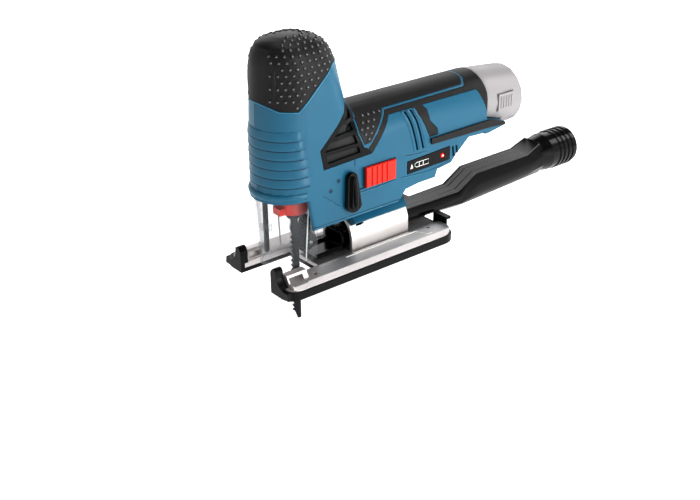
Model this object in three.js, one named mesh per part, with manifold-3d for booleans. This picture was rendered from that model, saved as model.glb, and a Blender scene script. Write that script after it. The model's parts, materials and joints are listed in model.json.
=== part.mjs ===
// A cordless jigsaw with a tall front grip, a barrel body, a swivelling base plate and a dust tube.
// Millimetres. +X is the cutting direction, +Y the tool's left side and +Z up. The origin is the middle
// of the sole's underside. Every mesh is one closed body, at its place in the assembled tool at rest.

import * as THREE from 'three';
import { mergeVertices } from 'three/addons/utils/BufferGeometryUtils.js';
import Module from 'manifold-3d';

// ---- driving dimensions ----
const GAP = 0.3; // between pieces that touch
const WALL = 3.3; // housing wall
const SKIN = 1.6; // rubber skin on the housing
const HALF_WIDTH = 27; // housing, left and right of the middle plane
const CORNER = 2.5; // rounding of the lower body's long edges

const SOLE = { rear: -88, front: 82.5, half: 44, thick: 3, rim: 6.3 };
const PLATE = { rear: -86.4, front: 79, half: 42.3, floor: 6.5, wing: 10, hump: 15.5 };
const BLADE_SLOT = { rear: 36, half: 20 };

const TILT = { z: 18, outer: 18.5, inner: 15.5, front: 3, rear: -56 }; // bevel axis and the arch round it
const CLAMP_X = -7.4;
const CLAMP_SLOT = { width: 7.6, reach: 59 }; // along X, and degrees each side of the top

const MOTOR_Z = 100.5;
const BARREL = { rear: -134.5, halfHeight: 25.5, bore: 22.4, boreFront: -75 };
const MOTOR = { front: -8, rear: -58, radius: 17.5, shaft: 2 };
const GEAR = { module: 0.8, pinionTeeth: 11, wheelTeeth: 50, rear: 22, front: 28 };
const WHEEL_Z = MOTOR_Z + (GEAR.module * (GEAR.pinionTeeth + GEAR.wheelTeeth)) / 2;
const CRANK = 9; // half the 18 mm stroke

const BLADE = { x: 45.4, width: 7.6, thick: 1.5, tip: -45 };
const ROD = { x: 71, radius: 2, low: 23, high: 79 };
const ROLLER = { x: 34.3, z: 21.6, radius: 6.8 };
const FORK_PIVOT = { x: 31, z: 37 };
const LEVER = { x: 10, z: 56 };

// ---- materials ----
const finish = (color, roughness, metalness = 0) =>
  new THREE.MeshStandardMaterial({ color, roughness, metalness });
const BLUE = () => finish(0x2a7098, 0.42);
const RUBBER = () => finish(0x2d2c2c, 0.75);
const BLACK = () => finish(0x1d1e20, 0.4);
const GLOSS_BLACK = () => finish(0x101113, 0.22);
const RED = () => finish(0xeb3a20, 0.35);
const CAST = () => finish(0xc9c5c3, 0.35, 0.9);
const STEEL = () => finish(0xb8b8bc, 0.3, 1);
const DARK_STEEL = () => finish(0x3a3a3e, 0.35, 1);
const BRASS = () => finish(0xb08d4a, 0.35, 1);
const COPPER = () => finish(0xa4603a, 0.4, 1);
const GREY = () => finish(0xb5b1b2, 0.5);
const GREEN_BOARD = () => finish(0x1f6b45, 0.5);
const CLEAR = () => {
  const clear = finish(0xf2f4f5, 0.08);
  clear.transparent = true;
  clear.opacity = 0.3;
  return clear;
};

// ---- solids ----
const wasm = await Module();
wasm.setup();

function solid(geometry) {
  const bare = geometry.clone();
  bare.deleteAttribute('normal');
  bare.deleteAttribute('uv');
  const merged = mergeVertices(bare, 1e-4);
  return new wasm.Manifold(
    new wasm.Mesh({
      numProp: 3,
      vertProperties: Float32Array.from(merged.attributes.position.array),
      triVerts: Uint32Array.from(merged.index.array),
    }),
  );
}

const part = new THREE.Group();

// Cuts that graze a face leave slivers, so a piece is the largest body of what is given.
function piece(name, body, material) {
  const [largest] = body.decompose().sort((a, b) => b.volume() - a.volume());
  const mesh = largest.getMesh();
  const geometry = new THREE.BufferGeometry();
  geometry.setAttribute('position', new THREE.BufferAttribute(mesh.vertProperties, 3));
  geometry.setIndex(new THREE.BufferAttribute(mesh.triVerts, 1));
  geometry.computeVertexNormals();
  const made = new THREE.Mesh(geometry, material);
  made.name = name;
  part.add(made);
}

const join = (...bodies) => bodies.reduce((a, b) => a.add(b));
const cut = (body, ...tools) => tools.reduce((a, b) => a.subtract(b), body);

// A box between two values on each axis.
function box([x0, x1], [y0, y1], [z0, z1]) {
  const geometry = new THREE.BoxGeometry(x1 - x0, y1 - y0, z1 - z0);
  return solid(geometry.translate((x0 + x1) / 2, (y0 + y1) / 2, (z0 + z1) / 2));
}

// The world directions of an outline's two axes and of its thickness.
const [X, Y, Z] = [new THREE.Vector3(1, 0, 0), new THREE.Vector3(0, 1, 0), new THREE.Vector3(0, 0, 1)];
const PLANES = {
  x: new THREE.Matrix4().makeBasis(Y, Z, X), // outline in (y, z)
  y: new THREE.Matrix4().makeBasis(X, Z, Y.clone().negate()), // outline in (x, z)
  z: new THREE.Matrix4(), // outline in (x, y)
};

// An outline extruded along an axis, with its long edges rounded if bevel is given.
function prism(axis, points, low, high, bevel = 0) {
  const shape = new THREE.Shape(points.map(([a, b]) => new THREE.Vector2(a, b)));
  const geometry = new THREE.ExtrudeGeometry(shape, {
    depth: high - low - 2 * bevel,
    bevelEnabled: bevel > 0,
    bevelThickness: bevel,
    bevelSize: bevel,
    bevelOffset: -bevel,
    bevelSegments: 2,
  });
  const start = axis === 'y' ? -high + bevel : low + bevel;
  return solid(geometry.translate(0, 0, start).applyMatrix4(PLANES[axis]));
}

// A round bar along an axis: at is the other two coordinates, in X, Y, Z order.
function bar(axis, low, high, at, radius, sides = 20, endRadius = radius) {
  const geometry = new THREE.CylinderGeometry(endRadius, radius, high - low, sides);
  const middle = (low + high) / 2;
  if (axis === 'x') geometry.rotateZ(-Math.PI / 2).translate(middle, at[0], at[1]);
  if (axis === 'y') geometry.translate(at[0], middle, at[1]);
  if (axis === 'z') geometry.rotateX(Math.PI / 2).translate(at[0], at[1], middle);
  return solid(geometry);
}

const tube = (axis, low, high, at, radius, hole, sides = 20) =>
  cut(bar(axis, low, high, at, radius, sides), bar(axis, low - 1, high + 1, at, hole, sides));

// Points of an arc, in degrees from the first axis to the second.
function arc([a, b], radius, from, to, steps, second = radius) {
  return Array.from({ length: steps + 1 }, (_, i) => {
    const turn = ((from + ((to - from) * i) / steps) * Math.PI) / 180;
    return [a + radius * Math.cos(turn), b + second * Math.sin(turn)];
  });
}

// A convex body through a stack of rings, each turning the same way.
function loft(rings) {
  const count = rings[0].length;
  const last = (rings.length - 1) * count;
  const index = [];
  for (let r = 0; r < last; r += count) {
    for (let i = 0; i < count; i++) {
      const j = (i + 1) % count;
      index.push(r + i, r + j, r + count + i, r + j, r + count + j, r + count + i);
    }
  }
  for (let i = 1; i + 1 < count; i++) index.push(0, i + 1, i, last, last + i, last + i + 1);
  const geometry = new THREE.BufferGeometry();
  geometry.setAttribute('position', new THREE.Float32BufferAttribute(rings.flat(2), 3));
  geometry.setIndex(index);
  return solid(geometry);
}

// An outline moved inwards by a distance. Its points run anticlockwise.
function inset(points, distance) {
  return points.map(([x, y], i) => {
    const [px, py] = points[(i + points.length - 1) % points.length];
    const [nx, ny] = points[(i + 1) % points.length];
    const before = new THREE.Vector2(x - px, y - py).normalize();
    const after = new THREE.Vector2(nx - x, ny - y).normalize();
    const reach = distance / (1 + before.dot(after));
    return [x - (before.y + after.y) * reach, y + (before.x + after.x) * reach];
  });
}

// ---- the outer skin of the tool, moved inwards by a depth ----

// Height, front, rear and half width of the grip tower. Its plan has an elliptical nose and tail.
const TOWER = [
  [68, 79, -3, 27],
  [75.5, 78, -3, 27],
  [77, 77, -3, 27],
  [120, 76.8, -9, 27],
  [132, 76.2, 1, 27],
  [144, 75.4, 4.7, 27],
  [165, 74.4, 10.5, 26.2],
  [175, 73.8, 15.3, 24.6],
  [176.2, 71.9, 16, 24.2],
  [179.6, 71.5, 18.2, 22.4],
  [182.4, 69.9, 21.4, 19.9],
  [185, 65.3, 27, 15.2],
  [186.8, 57, 35, 8.6],
];
const DOME = { low: 165, top: 186.8 };

function towerRing(z, front, rear, half) {
  const nose = Math.min(27, (front - rear) / 2);
  const tail = (front - rear) * 0.36;
  const plan = [
    ...arc([front - nose, 0], nose, -90, 90, 10, half),
    ...arc([rear + tail, 0], tail, 90, 270, 8, half),
  ];
  return plan.map(([x, y]) => [x, y, z]);
}

function tower(depth) {
  return loft(
    TOWER.map(([z, front, rear, half]) => {
      const dome = Math.max(0, (z - DOME.low) / (DOME.top - DOME.low)); // how much the skin faces up
      const open = depth && z === TOWER[0][0] ? 0.5 : 0; // the inner skins run out of the open foot
      return towerRing(z - depth * dome - open, front - depth, rear + depth, half - depth);
    }),
  );
}

// The barrel and the lower body seen from the side.
const BODY_OUTLINE = [
  [45.3, 41.3],
  [50, 68],
  [50, 128],
  [BARREL.rear, 128],
  [BARREL.rear, 76.7],
  [-114, 77.6],
  [-99, 64.8],
  [-95, 60.2],
  [-80, 58.5],
  [-77.6, 52],
  [-59.5, 51.9],
  [-46, 50.2],
  [-39, 41.3],
];

// The tail of the body, a lip that carries the battery's foot.
const LIP = [[-132, 76.7], [-132, 90.4], [-134.5, 89.4], [-154, 83.2], [-154.3, 79.6], [-136, 76.7]];

function skin(depth) {
  const half = HALF_WIDTH - depth;
  const profile = prism('y', inset(BODY_OUTLINE, depth), -half, half, CORNER);
  const roof = arc([0, MOTOR_Z], half, 0, 180, 14, BARREL.halfHeight - depth);
  const archway = [[-half, 30], [half, 30], ...roof];
  return join(tower(depth), profile.intersect(prism('x', archway, -200, 100)));
}

const outer = skin(0);
const underSkin = skin(SKIN); // the outer layer's inner face
const base = skin(SKIN + 1.5 * GAP); // what the layer lies on
const hollow = skin(WALL);

// ---- regions of the outer layer, as side outlines ----
const GRIP_CAP = [
  [-20, 169], [24, 166.7], [56.4, 138], [68, 139], [77, 144.5], [90, 144.5], [90, 200], [-20, 200],
];
const BARREL_GRIP = [
  [-3.4, 99.2], [0.7, 108.6], [-0.5, 133], [-119, 133], [-117.8, 124.7],
  [-113, 121], [-28, 120.2], [-17, 109], [-9.3, 100.2],
];
const TRIM = [
  [-30.6, 115.5], [-11, 91.4], [-9.6, 90.8], [-7, 95], [-10.2, 98.3],
  [-18.5, 107.4], [-29, 118.4], [-113.6, 119],
  [-119.5, 123.8], [-121.3, 133], [-140, 133], [-140, 95], [-133.9, 95], [-124.8, 115.8], [-64.5, 115.7],
  [-68, 111.9], [-69.4, 102.5], [-77.2, 95], [-78.4, 89.8], [-69.9, 89.4], [-63, 103.2], [-56, 115.6],
];
const VENT = [
  [-9, 90.6], [35.5, 88.9], [38.4, 104.1], [5, 137], [2.2, 137], [2.4, 108], [-2.6, 96.4], [-5.6, 95.6],
];

const VENT_WINDOW = [[1, 94], [31.5, 92.5], [34, 103.5], [7, 129], [5.2, 108]];

const clockwise = (points) => THREE.ShapeUtils.area(points.map(([x, y]) => new THREE.Vector2(x, y))) < 0;
const anticlockwise = (points) => (clockwise(points) ? [...points].reverse() : points);
const region = (points, grow = 0) => prism('y', inset(anticlockwise(points), -grow), -40, 40);

const layerRegions = [GRIP_CAP, BARREL_GRIP, TRIM, VENT];
const layer = (points) => cut(outer.intersect(region(points)), underSkin);

const LEFT = box([-300, 300], [GAP / 2, 60], [-60, 220]);
const RIGHT = box([-300, 300], [-60, -GAP / 2], [-60, 220]);

// ---- housing ----
const SLIDER = { rear: -33, front: -3, low: 64.3, high: 80.7 };
const DISPLAY = [[-92, 64.8], [-46.5, 63.6], [-46.5, 74], [-92, 76]];
const RAIL = [[-154, 80.6], [-154, 82.8], [-137.6, 88.6], [-70, 88], [-71, 83], [-137, 82]];
const SCREWS = [[55.5, 108], [-40, 55], [-1, 50], [-90, 68]];
const SCREW_SEAT = -24.6; // the screw heads' undersides

function noseGrooves() {
  const grooves = [];
  for (let i = 0; i < 6; i++) {
    const z = 81 + i * 7.2;
    const ring = cut(
      loft([z, z + 1.1].map((level) => towerRing(level, 78, -3, 28))),
      loft([z - 1, z + 3].map((level) => towerRing(level, 76.1, -3, 26.1))),
    );
    grooves.push(ring.intersect(box([47 + i * 1.8, 90], [-30, 30], [60, 140])));
  }
  return grooves;
}

function housing() {
  const frontOpening = join(
    box([BLADE_SLOT.rear - 5, 60], [-HALF_WIDTH + WALL, HALF_WIDTH - WALL], [30, 72]),
    loft([60, 80].map((z) => towerRing(z, 75.2, 0, HALF_WIDTH - WALL))).intersect(
      box([BLADE_SLOT.rear - 5, 90], [-40, 40], [50, 80]),
    ),
  );
  const shell = cut(
    outer.add(region(LIP).intersect(box([-160, -130], [-HALF_WIDTH, HALF_WIDTH], [70, 95]))),
    hollow,
    frontOpening,
    bar('x', -160, BARREL.boreFront, [0, MOTOR_Z], BARREL.bore, 24),
    ...layerRegions.map((points) => cut(region(points, GAP), base)),
    ...noseGrooves(),
  );
  // A panel groove along the foot of the lower body.
  const footGroove = cut(
    box([-60, 60], [-40, 40], [43.6, 44.6]),
    box([-60, 60], [-HALF_WIDTH + 0.8, HALF_WIDTH - 0.8], [43, 45]),
  );
  const gearboxPassage = box([26.4, 40], [-21, 21], [30, 50]);
  return cut(shell, footGroove, gearboxPassage);
}

function sideOpenings(side) {
  const y = [side * 20, side * 40].sort((a, b) => a - b);
  const reach = (depth) => [side * (HALF_WIDTH - depth), side * 40].sort((a, b) => a - b);
  const slot = (x, top) => prism('y', [[x, 66.4], [x + 2, 66.4], [x + 3.4, top], [x + 1.4, top]], y[0], y[1]);
  // Two cooling slots that follow the bulge of the motor.
  const curvedSlot = (shift) => {
    const edge = [[-45.6, 114.4], [-49.2, 105], [-52.4, 95], [-54.6, 87.5], [-56, 81.4]];
    const front = edge.map(([x, z]) => [x + shift, z]);
    return prism('y', [...front, ...front.map(([x, z]) => [x - 1.7, z]).reverse()], y[0], y[1]);
  };
  const common = [
    slot(-97.6, 75),
    slot(-101.6, 75),
    curvedSlot(0),
    curvedSlot(-6),
  ];
  if (side < 0) return common;
  return [
    ...common,
    box([SLIDER.rear - 1, SLIDER.front + 7], reach(1.3), [SLIDER.low - 0.6, SLIDER.high + 0.6]),
    box([-26, -8], y, [68, 77]),
    prism('y', inset(DISPLAY, -GAP), ...reach(1)),
    bar('y', 20, 40, [LEVER.x, LEVER.z], 4.3),
  ];
}

function buildHousing() {
  const shell = housing();
  // Sockets for the case screws, which enter from the right side.
  const screwHoles = SCREWS.flatMap(([x, z]) => [
    bar('y', -40, SCREW_SEAT - GAP / 3, [x, z], 3.9, 12),
    bar('y', -40, 24, [x, z], 1.8, 10),
  ]);
  const bosses = join(...SCREWS.map(([x, z]) => bar('y', -26, 26, [x, z], 4, 12)));
  const bossed = cut(shell.add(bosses.intersect(outer)), ...screwHoles);
  piece('housing_left', cut(bossed.intersect(LEFT), ...sideOpenings(1)), BLUE());
  piece('housing_right', cut(bossed.intersect(RIGHT), ...sideOpenings(-1)), BLUE());
  SCREWS.forEach(([x, z], i) => {
    const head = bar('y', SCREW_SEAT - 2, SCREW_SEAT - GAP / 2, [x, z], 3.4, 12);
    const shank = bar('y', SCREW_SEAT - 1, 12, [x, z], 1.4, 10);
    const socket = bar('y', -30, SCREW_SEAT - 1, [x, z], 1.5, 6);
    piece(`case_screw_${i + 1}`, cut(head.add(shank), socket), DARK_STEEL());
  });
}

function buildRubber() {
  piece('grip_cap', layer(GRIP_CAP), RUBBER());
  piece('barrel_grip', layer(BARREL_GRIP), RUBBER());
  piece('barrel_trim', cut(layer(TRIM), bar('x', -160, -100, [0, MOTOR_Z], BARREL.bore + 0.4, 24)), RUBBER());
  const louvres = [92.5, 102, 112, 122].map((z) => box([-20, 60], [-40, 40], [z, z + 6.5]));
  const opening = region(VENT_WINDOW).intersect(join(...louvres));
  for (const [side, sign, half] of [['left', 1, LEFT], ['right', -1, RIGHT]]) {
    piece(`vent_grille_${side}`, cut(layer(VENT).intersect(half), opening), BLACK());
    const rail = [sign * (HALF_WIDTH + GAP / 2), sign * (HALF_WIDTH + 1.8)].sort((a, b) => a - b);
    piece(`side_rail_${side}`, prism('y', RAIL, ...rail), RUBBER());
  }
}

function buildControls() {
  const y = HALF_WIDTH;
  // The slide switch: a ribbed cap with a stem that reaches the switch inside.
  let slider = prism('y', [
    [SLIDER.rear, SLIDER.low], [SLIDER.front, SLIDER.low],
    [SLIDER.front, SLIDER.high], [SLIDER.rear, SLIDER.high],
  ], y - 1, y + 2.6, 1);
  for (const x of [-24, -19, -14, -9]) {
    slider = slider.subtract(box([x, x + 1.6], [y + 1.6, y + 5], [60, 90]));
  }
  piece('switch_slider', slider.add(box([-24.5, -16.5], [19.2, y], [70, 75])), RED());

  // The orbital-action lever: a hub, a finger bar with a raised rib and a shaft into the body.
  const barOutline = [
    ...arc([LEVER.x, LEVER.z], 7.6, 200, 340, 6),
    ...arc([LEVER.x + 1.6, LEVER.z + 21], 4.6, 0, 180, 6),
  ];
  const lever = join(
    prism('y', barOutline, y + GAP, y + 4.6, 0.8),
    prism('y', inset(barOutline, 2.6), y + 4, y + 7, 0.5),
    bar('y', 17, y + 1, [LEVER.x, LEVER.z], 4),
  );
  piece('orbital_lever', lever, BLACK());

  const led = [-84, 70];
  const panel = cut(prism('y', DISPLAY, y - 0.8, y + 0.1), bar('y', 20, 30, led, 2.7));
  piece('display_panel', panel, GLOSS_BLACK());
  piece('status_led', bar('y', y - 0.75, y + 0.5, led, 2.4, 16, 1.8), RED());
}

// ---- drive ----

// A spur gear across X. Its teeth are straight-sided and thinner than half the pitch.
function spur(teeth, low, high, at, turn) {
  const radius = (GEAR.module * teeth) / 2;
  const pitch = (2 * Math.PI) / teeth;
  const points = [];
  for (let i = 0; i < teeth; i++) {
    for (const [part, level] of [[-0.27, -1.15], [-0.13, 0.85], [0.13, 0.85], [0.27, -1.15]]) {
      const angle = (i + part) * pitch + turn;
      const reach = radius + level * GEAR.module;
      points.push([at[0] + reach * Math.cos(angle), at[1] + reach * Math.sin(angle)]);
    }
  }
  return prism('x', points, low, high);
}

function buildMotor() {
  const at = [0, MOTOR_Z];
  piece('motor_can', cut(
    tube('x', MOTOR.rear, MOTOR.front, at, MOTOR.radius, MOTOR.radius - 1.6, 24).add(
      bar('x', MOTOR.front - 2, MOTOR.front, at, MOTOR.radius, 24)),
    bar('x', -20, 0, at, 4.4)), STEEL());
  piece('front_bearing', tube('x', MOTOR.front - 3, MOTOR.front - 0.2, at, 4.1, MOTOR.shaft + 0.15), STEEL());
  piece('field_magnet', tube('x', -45, -14, at, MOTOR.radius - 2, MOTOR.radius - 5.2, 24), DARK_STEEL());
  for (const [side, sign] of [['left', 1], ['right', -1]]) {
    const y = [sign * 7.7, sign * 14].sort((a, b) => a - b);
    piece(`carbon_brush_${side}`, box([-55, -50], y, [MOTOR_Z - 3, MOTOR_Z + 3]), DARK_STEEL());
  }
  piece('motor_end_bell', cut(
    bar('x', -66, MOTOR.rear - GAP, at, MOTOR.radius, 24), bar('x', -70, -50, at, 4.4)), BLACK());
  piece('rear_bearing', tube('x', -65, -60, at, 4.1, MOTOR.shaft + 0.15), STEEL());

  // Rotor.
  piece('rotor_shaft', bar('x', -65.5, GEAR.front + 1, at, MOTOR.shaft, 16), STEEL());
  let stack = tube('x', -45, -14, at, 11.5, MOTOR.shaft + 0.1, 24);
  for (let i = 0; i < 5; i++) {
    const turn = (i * 2 * Math.PI) / 5;
    const slot = [9.3 * Math.cos(turn), MOTOR_Z + 9.3 * Math.sin(turn)];
    stack = stack.subtract(bar('x', -50, 0, slot, 2.4, 10));
  }
  piece('armature', stack, COPPER());
  piece('commutator', tube('x', -56.5, -47.5, at, 7.2, MOTOR.shaft + 0.1), COPPER());
  let fan = bar('x', 4.6, 6.4, at, 16, 24);
  for (let i = 0; i < 9; i++) {
    const blade = new THREE.BoxGeometry(9, 8.5, 1.2).translate(0, 11, 0).rotateX((i * 2 * Math.PI) / 9);
    fan = fan.add(solid(blade.translate(0.6, 0, MOTOR_Z)));
  }
  const hubbed = cut(fan.add(bar('x', -4, 6, at, 5)), bar('x', -10, 10, at, MOTOR.shaft + 0.1));
  piece('cooling_fan', hubbed, BLACK());
  const pinion = spur(GEAR.pinionTeeth, GEAR.rear - 1, GEAR.front + 1, at, Math.PI / 2);
  piece('pinion', cut(pinion, bar('x', 0, 40, at, MOTOR.shaft + 0.1, 16)), STEEL());
}

function buildGearbox() {
  const wheelAt = [0, WHEEL_Z];
  // Spur wheel with a crank pin. At rest the pin is level with the axle, on the left.
  const halfTooth = -Math.PI / 2 + Math.PI / GEAR.wheelTeeth; // so that the teeth interleave
  const wheel = spur(GEAR.wheelTeeth, GEAR.rear, GEAR.front, wheelAt, halfTooth);
  const lightening = [90, 210, 330].map((turn) => {
    const [[y, z]] = arc(wheelAt, 12.4, turn, turn, 1);
    return bar('x', 0, 40, [y, z], 3.6, 12);
  });
  const crankPin = bar('x', GEAR.rear, 33.7, [CRANK, WHEEL_Z], 2, 14);
  piece('drive_gear', cut(wheel, bar('x', 0, 40, wheelAt, 3.2), ...lightening).add(crankPin), STEEL());
  const axle = join(
    bar('x', 12, GEAR.front + 1.6, wheelAt, 3, 16),
    bar('x', GEAR.front + 0.3, GEAR.front + 1.6, wheelAt, 4.4, 16),
  );
  piece('gear_axle', axle, STEEL());

  // Cast frame: a rear plate, a shelf, a front wall behind the blade and two bearing blocks.
  const frame = cut(
    join(
      box([13.5, 18], [-16, 16], [80, 138]),
      box([15, 18], [-8, 8], [137, 158]),
      box([17, 55], [-11, 11], [84, 91]),
      box([17, 31], [-20, 20], [80, 91]),
      box([27, 31], [-20, 20], [43, 84]),
      box([27, 31], [-13, 13], [31, 46]),
      box([30, 35], [-13, 13], [31, 41]),
      box([37, 54], [-9, 9], [71, 91]),
      box([50, 73.4], [-5, 5], [73, 78.6]),
      box([17, 54], [-9, 9], [147, 158]),
    ),
    bar('z', 60, 170, [BLADE.x, 0], 7.3, 20),
    bar('z', 60, 90, [ROD.x, 0], 2.3, 14),
    bar('x', 0, 30, [0, MOTOR_Z], 6.2),
    bar('x', 11, 20, wheelAt, 3.2, 16),
    bar('x', 20, 40, [11, 53], 1.9, 12),
    box([26, 36], [-7.2, 7.2], [30, 42]),
    bar('y', -20, 20, [FORK_PIVOT.x, FORK_PIVOT.z], 1.8, 16),
  );
  piece('gearbox_frame', frame, CAST());
  const screw = join(bar('x', 31.3, 34, [11, 53], 3.6, 14), bar('x', 22, 31.4, [11, 53], 1.6, 12));
  piece('gearbox_screw', cut(screw, bar('x', 33, 36, [11, 53], 1.7, 6)), STEEL());
  for (const [name, low, high] of [['lower_bushing', 70, 83], ['upper_bushing', 147.5, 157.5]]) {
    piece(name, tube('z', low, high, [BLADE.x, 0], 7, 5.15, 24), BRASS());
  }
}

function buildPlunger() {
  const at = [BLADE.x, 0];
  // The yoke is welded across the rod; its slot takes the crank pin.
  const yoke = cut(
    box([34.3, 42], [-15.5, 15.5], [WHEEL_Z - 6.5, WHEEL_Z + 6.5]),
    box([33, 38], [-12, 12], [WHEEL_Z - 2.4, WHEEL_Z + 2.4]),
  );
  piece('plunger', yoke.add(bar('z', 61, 171, at, 5, 24)), STEEL());
  // Tool-less clamp: a sleeve under the rod, with a slot that holds the blade's tang.
  const sleeve = join(bar('z', 47, 60.7, at, 6.6, 20), bar('z', 44.6, 47, at, 5, 20, 6.6));
  piece('blade_clamp', cut(sleeve, box([41, 50], [-1, 1], [40, 56.5])), DARK_STEEL());
  buildBlade();
  const collar = tube('z', 50, 60.6, at, 11, 6.9, 20);
  const tabs = [box([52, 61], [-4.5, 4.5], [50.5, 56]), box([32.3, 38], [-3.5, 3.5], [50.5, 55])];
  piece('release_ring', cut(join(collar, ...tabs), bar('z', 40, 70, at, 6.9, 20)), RED());
}

// The saw blade: teeth point up and forwards, the tip is cut off at a slant, and a tang fills the clamp.
function buildBlade() {
  const back = BLADE.x - BLADE.width / 2;
  const front = BLADE.x + BLADE.width / 2;
  const teeth = [];
  for (let z = BLADE.tip + 9; z < 30; z += 4) teeth.push([front, z], [front - 1.9, z + 1.1]);
  const outline = [
    [back, BLADE.tip], [back + 2.6, BLADE.tip], [front - 2.4, BLADE.tip + 7], ...teeth,
    [front, 36], [BLADE.x + 3.2, 40], [BLADE.x + 3.2, 56],
    [BLADE.x - 3.2, 56], [BLADE.x - 3.2, 40], [back, 36],
  ];
  piece('saw_blade', prism('y', outline, -BLADE.thick / 2, BLADE.thick / 2), STEEL());
}

function buildOrbitalAction() {
  const { x, z } = FORK_PIVOT;
  const cheek = (low, high) =>
    prism('y', [
      ...arc([ROLLER.x, ROLLER.z], 4.6, 190, 350, 5), [ROLLER.x + 3.6, 30],
      ...arc([x + 0.6, z], 4.2, 0, 180, 5), [ROLLER.x - 5, 29],
    ], low, high);
  const fork = cut(
    join(cheek(3.9, 6.4), cheek(-6.4, -3.9), bar('y', -4, 4, [x, z], 4.2, 16)),
    bar('y', -10, 10, [x, z], 1.7, 16),
    bar('y', -10, 10, [ROLLER.x, ROLLER.z], 1.6, 16),
  );
  piece('roller_fork', fork, DARK_STEEL());
  piece('fork_pin', bar('y', -12.9, 12.9, [x, z], 1.5, 16), STEEL());
  piece('roller_pin', bar('y', -7, 7, [ROLLER.x, ROLLER.z], 1.5, 16), STEEL());
  // The guide roller has a groove that the blade's back runs in.
  const outer = ROLLER.radius + 0.9;
  const groove = ROLLER.radius - 0.4;
  const rim = [
    [1.7, -3.5], [outer, -3.5], [outer, -1.4], [groove, -1.1],
    [groove, 1.1], [outer, 1.4], [outer, 3.5], [1.7, 3.5], [1.7, -3.5],
  ];
  const roller = new THREE.LatheGeometry(rim.map(([a, b]) => new THREE.Vector2(a, b)), 24);
  piece('guide_roller', solid(roller.translate(ROLLER.x, 0, ROLLER.z)), DARK_STEEL());
}

// ---- base ----
function archOutline(radius, foot, steps = 16) {
  return [[-radius, foot], [radius, foot], ...arc([0, TILT.z], radius, 0, 180, steps)];
}

function buildBase() {
  const corner = (x, y, r, from) => arc([x, y], r, from, from + 90, 4);
  const rounded = (rear, front, half, r, frontR) => [
    ...corner(front - frontR, half - frontR, frontR, 0),
    ...corner(rear + r, half - r, r, 90),
    ...corner(rear + r, -half + r, r, 180),
    ...corner(front - frontR, -half + frontR, frontR, 270),
  ];
  const opening = box([BLADE_SLOT.rear, 120], [-BLADE_SLOT.half, BLADE_SLOT.half], [-5, 30]);
  const floorPlan = rounded(PLATE.rear, PLATE.front, PLATE.half, 11, 9);

  // Cast plate: a flat floor, two raised wings, a hump at the front of each and the tilt arch.
  const wingSection = [
    [20, 4], [PLATE.half, 4], [PLATE.half, 6.6], [38.5, PLATE.wing], [25, PLATE.wing], [20, 8.2],
  ];
  const humpSection = [
    [21.5, 4], [34, 4], [34, PLATE.wing - 0.5], [30.5, PLATE.hump], [24.6, PLATE.hump], [21.5, 12.4],
  ];
  const mirrored = (points) => points.map(([a, b]) => [-a, b]).reverse();
  const wings = [wingSection, mirrored(wingSection)].map((points) => prism('x', points, -100, 100));
  const humpSections = [humpSection, mirrored(humpSection)];
  const humps = humpSections.map((points) => prism('x', points, 57, PLATE.front - 3.6));
  const footprint = prism('z', floorPlan, SOLE.thick + GAP, 30);
  const arch = prism('x', archOutline(TILT.outer, 4), TILT.rear, TILT.front);
  const archBore = prism('x', archOutline(TILT.inner, PLATE.floor + 0.7), TILT.rear - 1, TILT.front + 1);
  const slotReach = (CLAMP_SLOT.reach * Math.PI) / 180;
  const slotSector = prism('x', [
    [0, TILT.z], ...arc([0, TILT.z], 26, 90 - CLAMP_SLOT.reach, 90 + CLAMP_SLOT.reach, 8),
  ], CLAMP_X - CLAMP_SLOT.width / 2, CLAMP_X + CLAMP_SLOT.width / 2);
  const guideChannel = box([61.5, 74], [-60, 60], [9.4, 13.6]);
  const plate = cut(
    join(
      box([-100, 100], [-60, 60], [SOLE.thick + GAP, PLATE.floor]).intersect(footprint),
      join(...wings).intersect(footprint),
      ...humps,
      arch,
    ),
    archBore,
    slotSector,
    opening,
    guideChannel,
    box([PLATE.front - 3.4, 100], [-60, 60], [7.2, 30]),
    ...[-1, 1].flatMap((side) => [
      bar('z', 0, 20, [50, side * 32], 1.6, 10),
      bar('z', 0, 20, [-70, side * 27], 1.6, 10),
    ]),
  );
  piece('base_plate', plate, CAST());

  // Glide shoe: a thin sole with a rim all round, two front hooks and a rear grip tab.
  const shoePlan = rounded(SOLE.rear, SOLE.front, SOLE.half, 12.5, 10);
  const seat = prism('z', inset(floorPlan, -GAP), SOLE.thick, 30);
  const hookSection = [
    [18.2, 1], [42, 1], ...arc([38, 18], 11.6, 285, 200, 5),
    [26.8, 20], ...arc([24, 18.6], 2.6, 30, 150, 4), [18.2, 15.5],
  ];
  const hookBlock = [hookSection, mirrored(hookSection)].map((points) =>
    prism('x', points, PLATE.front - 3.1, SOLE.front));
  const shoe = join(
    cut(prism('z', shoePlan, 0, SOLE.rim), seat),
    ...hookBlock.map((block) => cut(block, box([0, PLATE.front + GAP], [-60, 60], [0, 7.5]))),
    ...[[-31, -15.5], [15.5, 31]].flatMap((tab) => [
      box([SOLE.rear, PLATE.rear - GAP], tab, [1, 15]),
      box([SOLE.rear - 4, PLATE.rear - GAP], tab, [13.2, 15.4]),
    ]),
  );
  piece('glide_shoe', cut(shoe, opening), BLACK());
}

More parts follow.
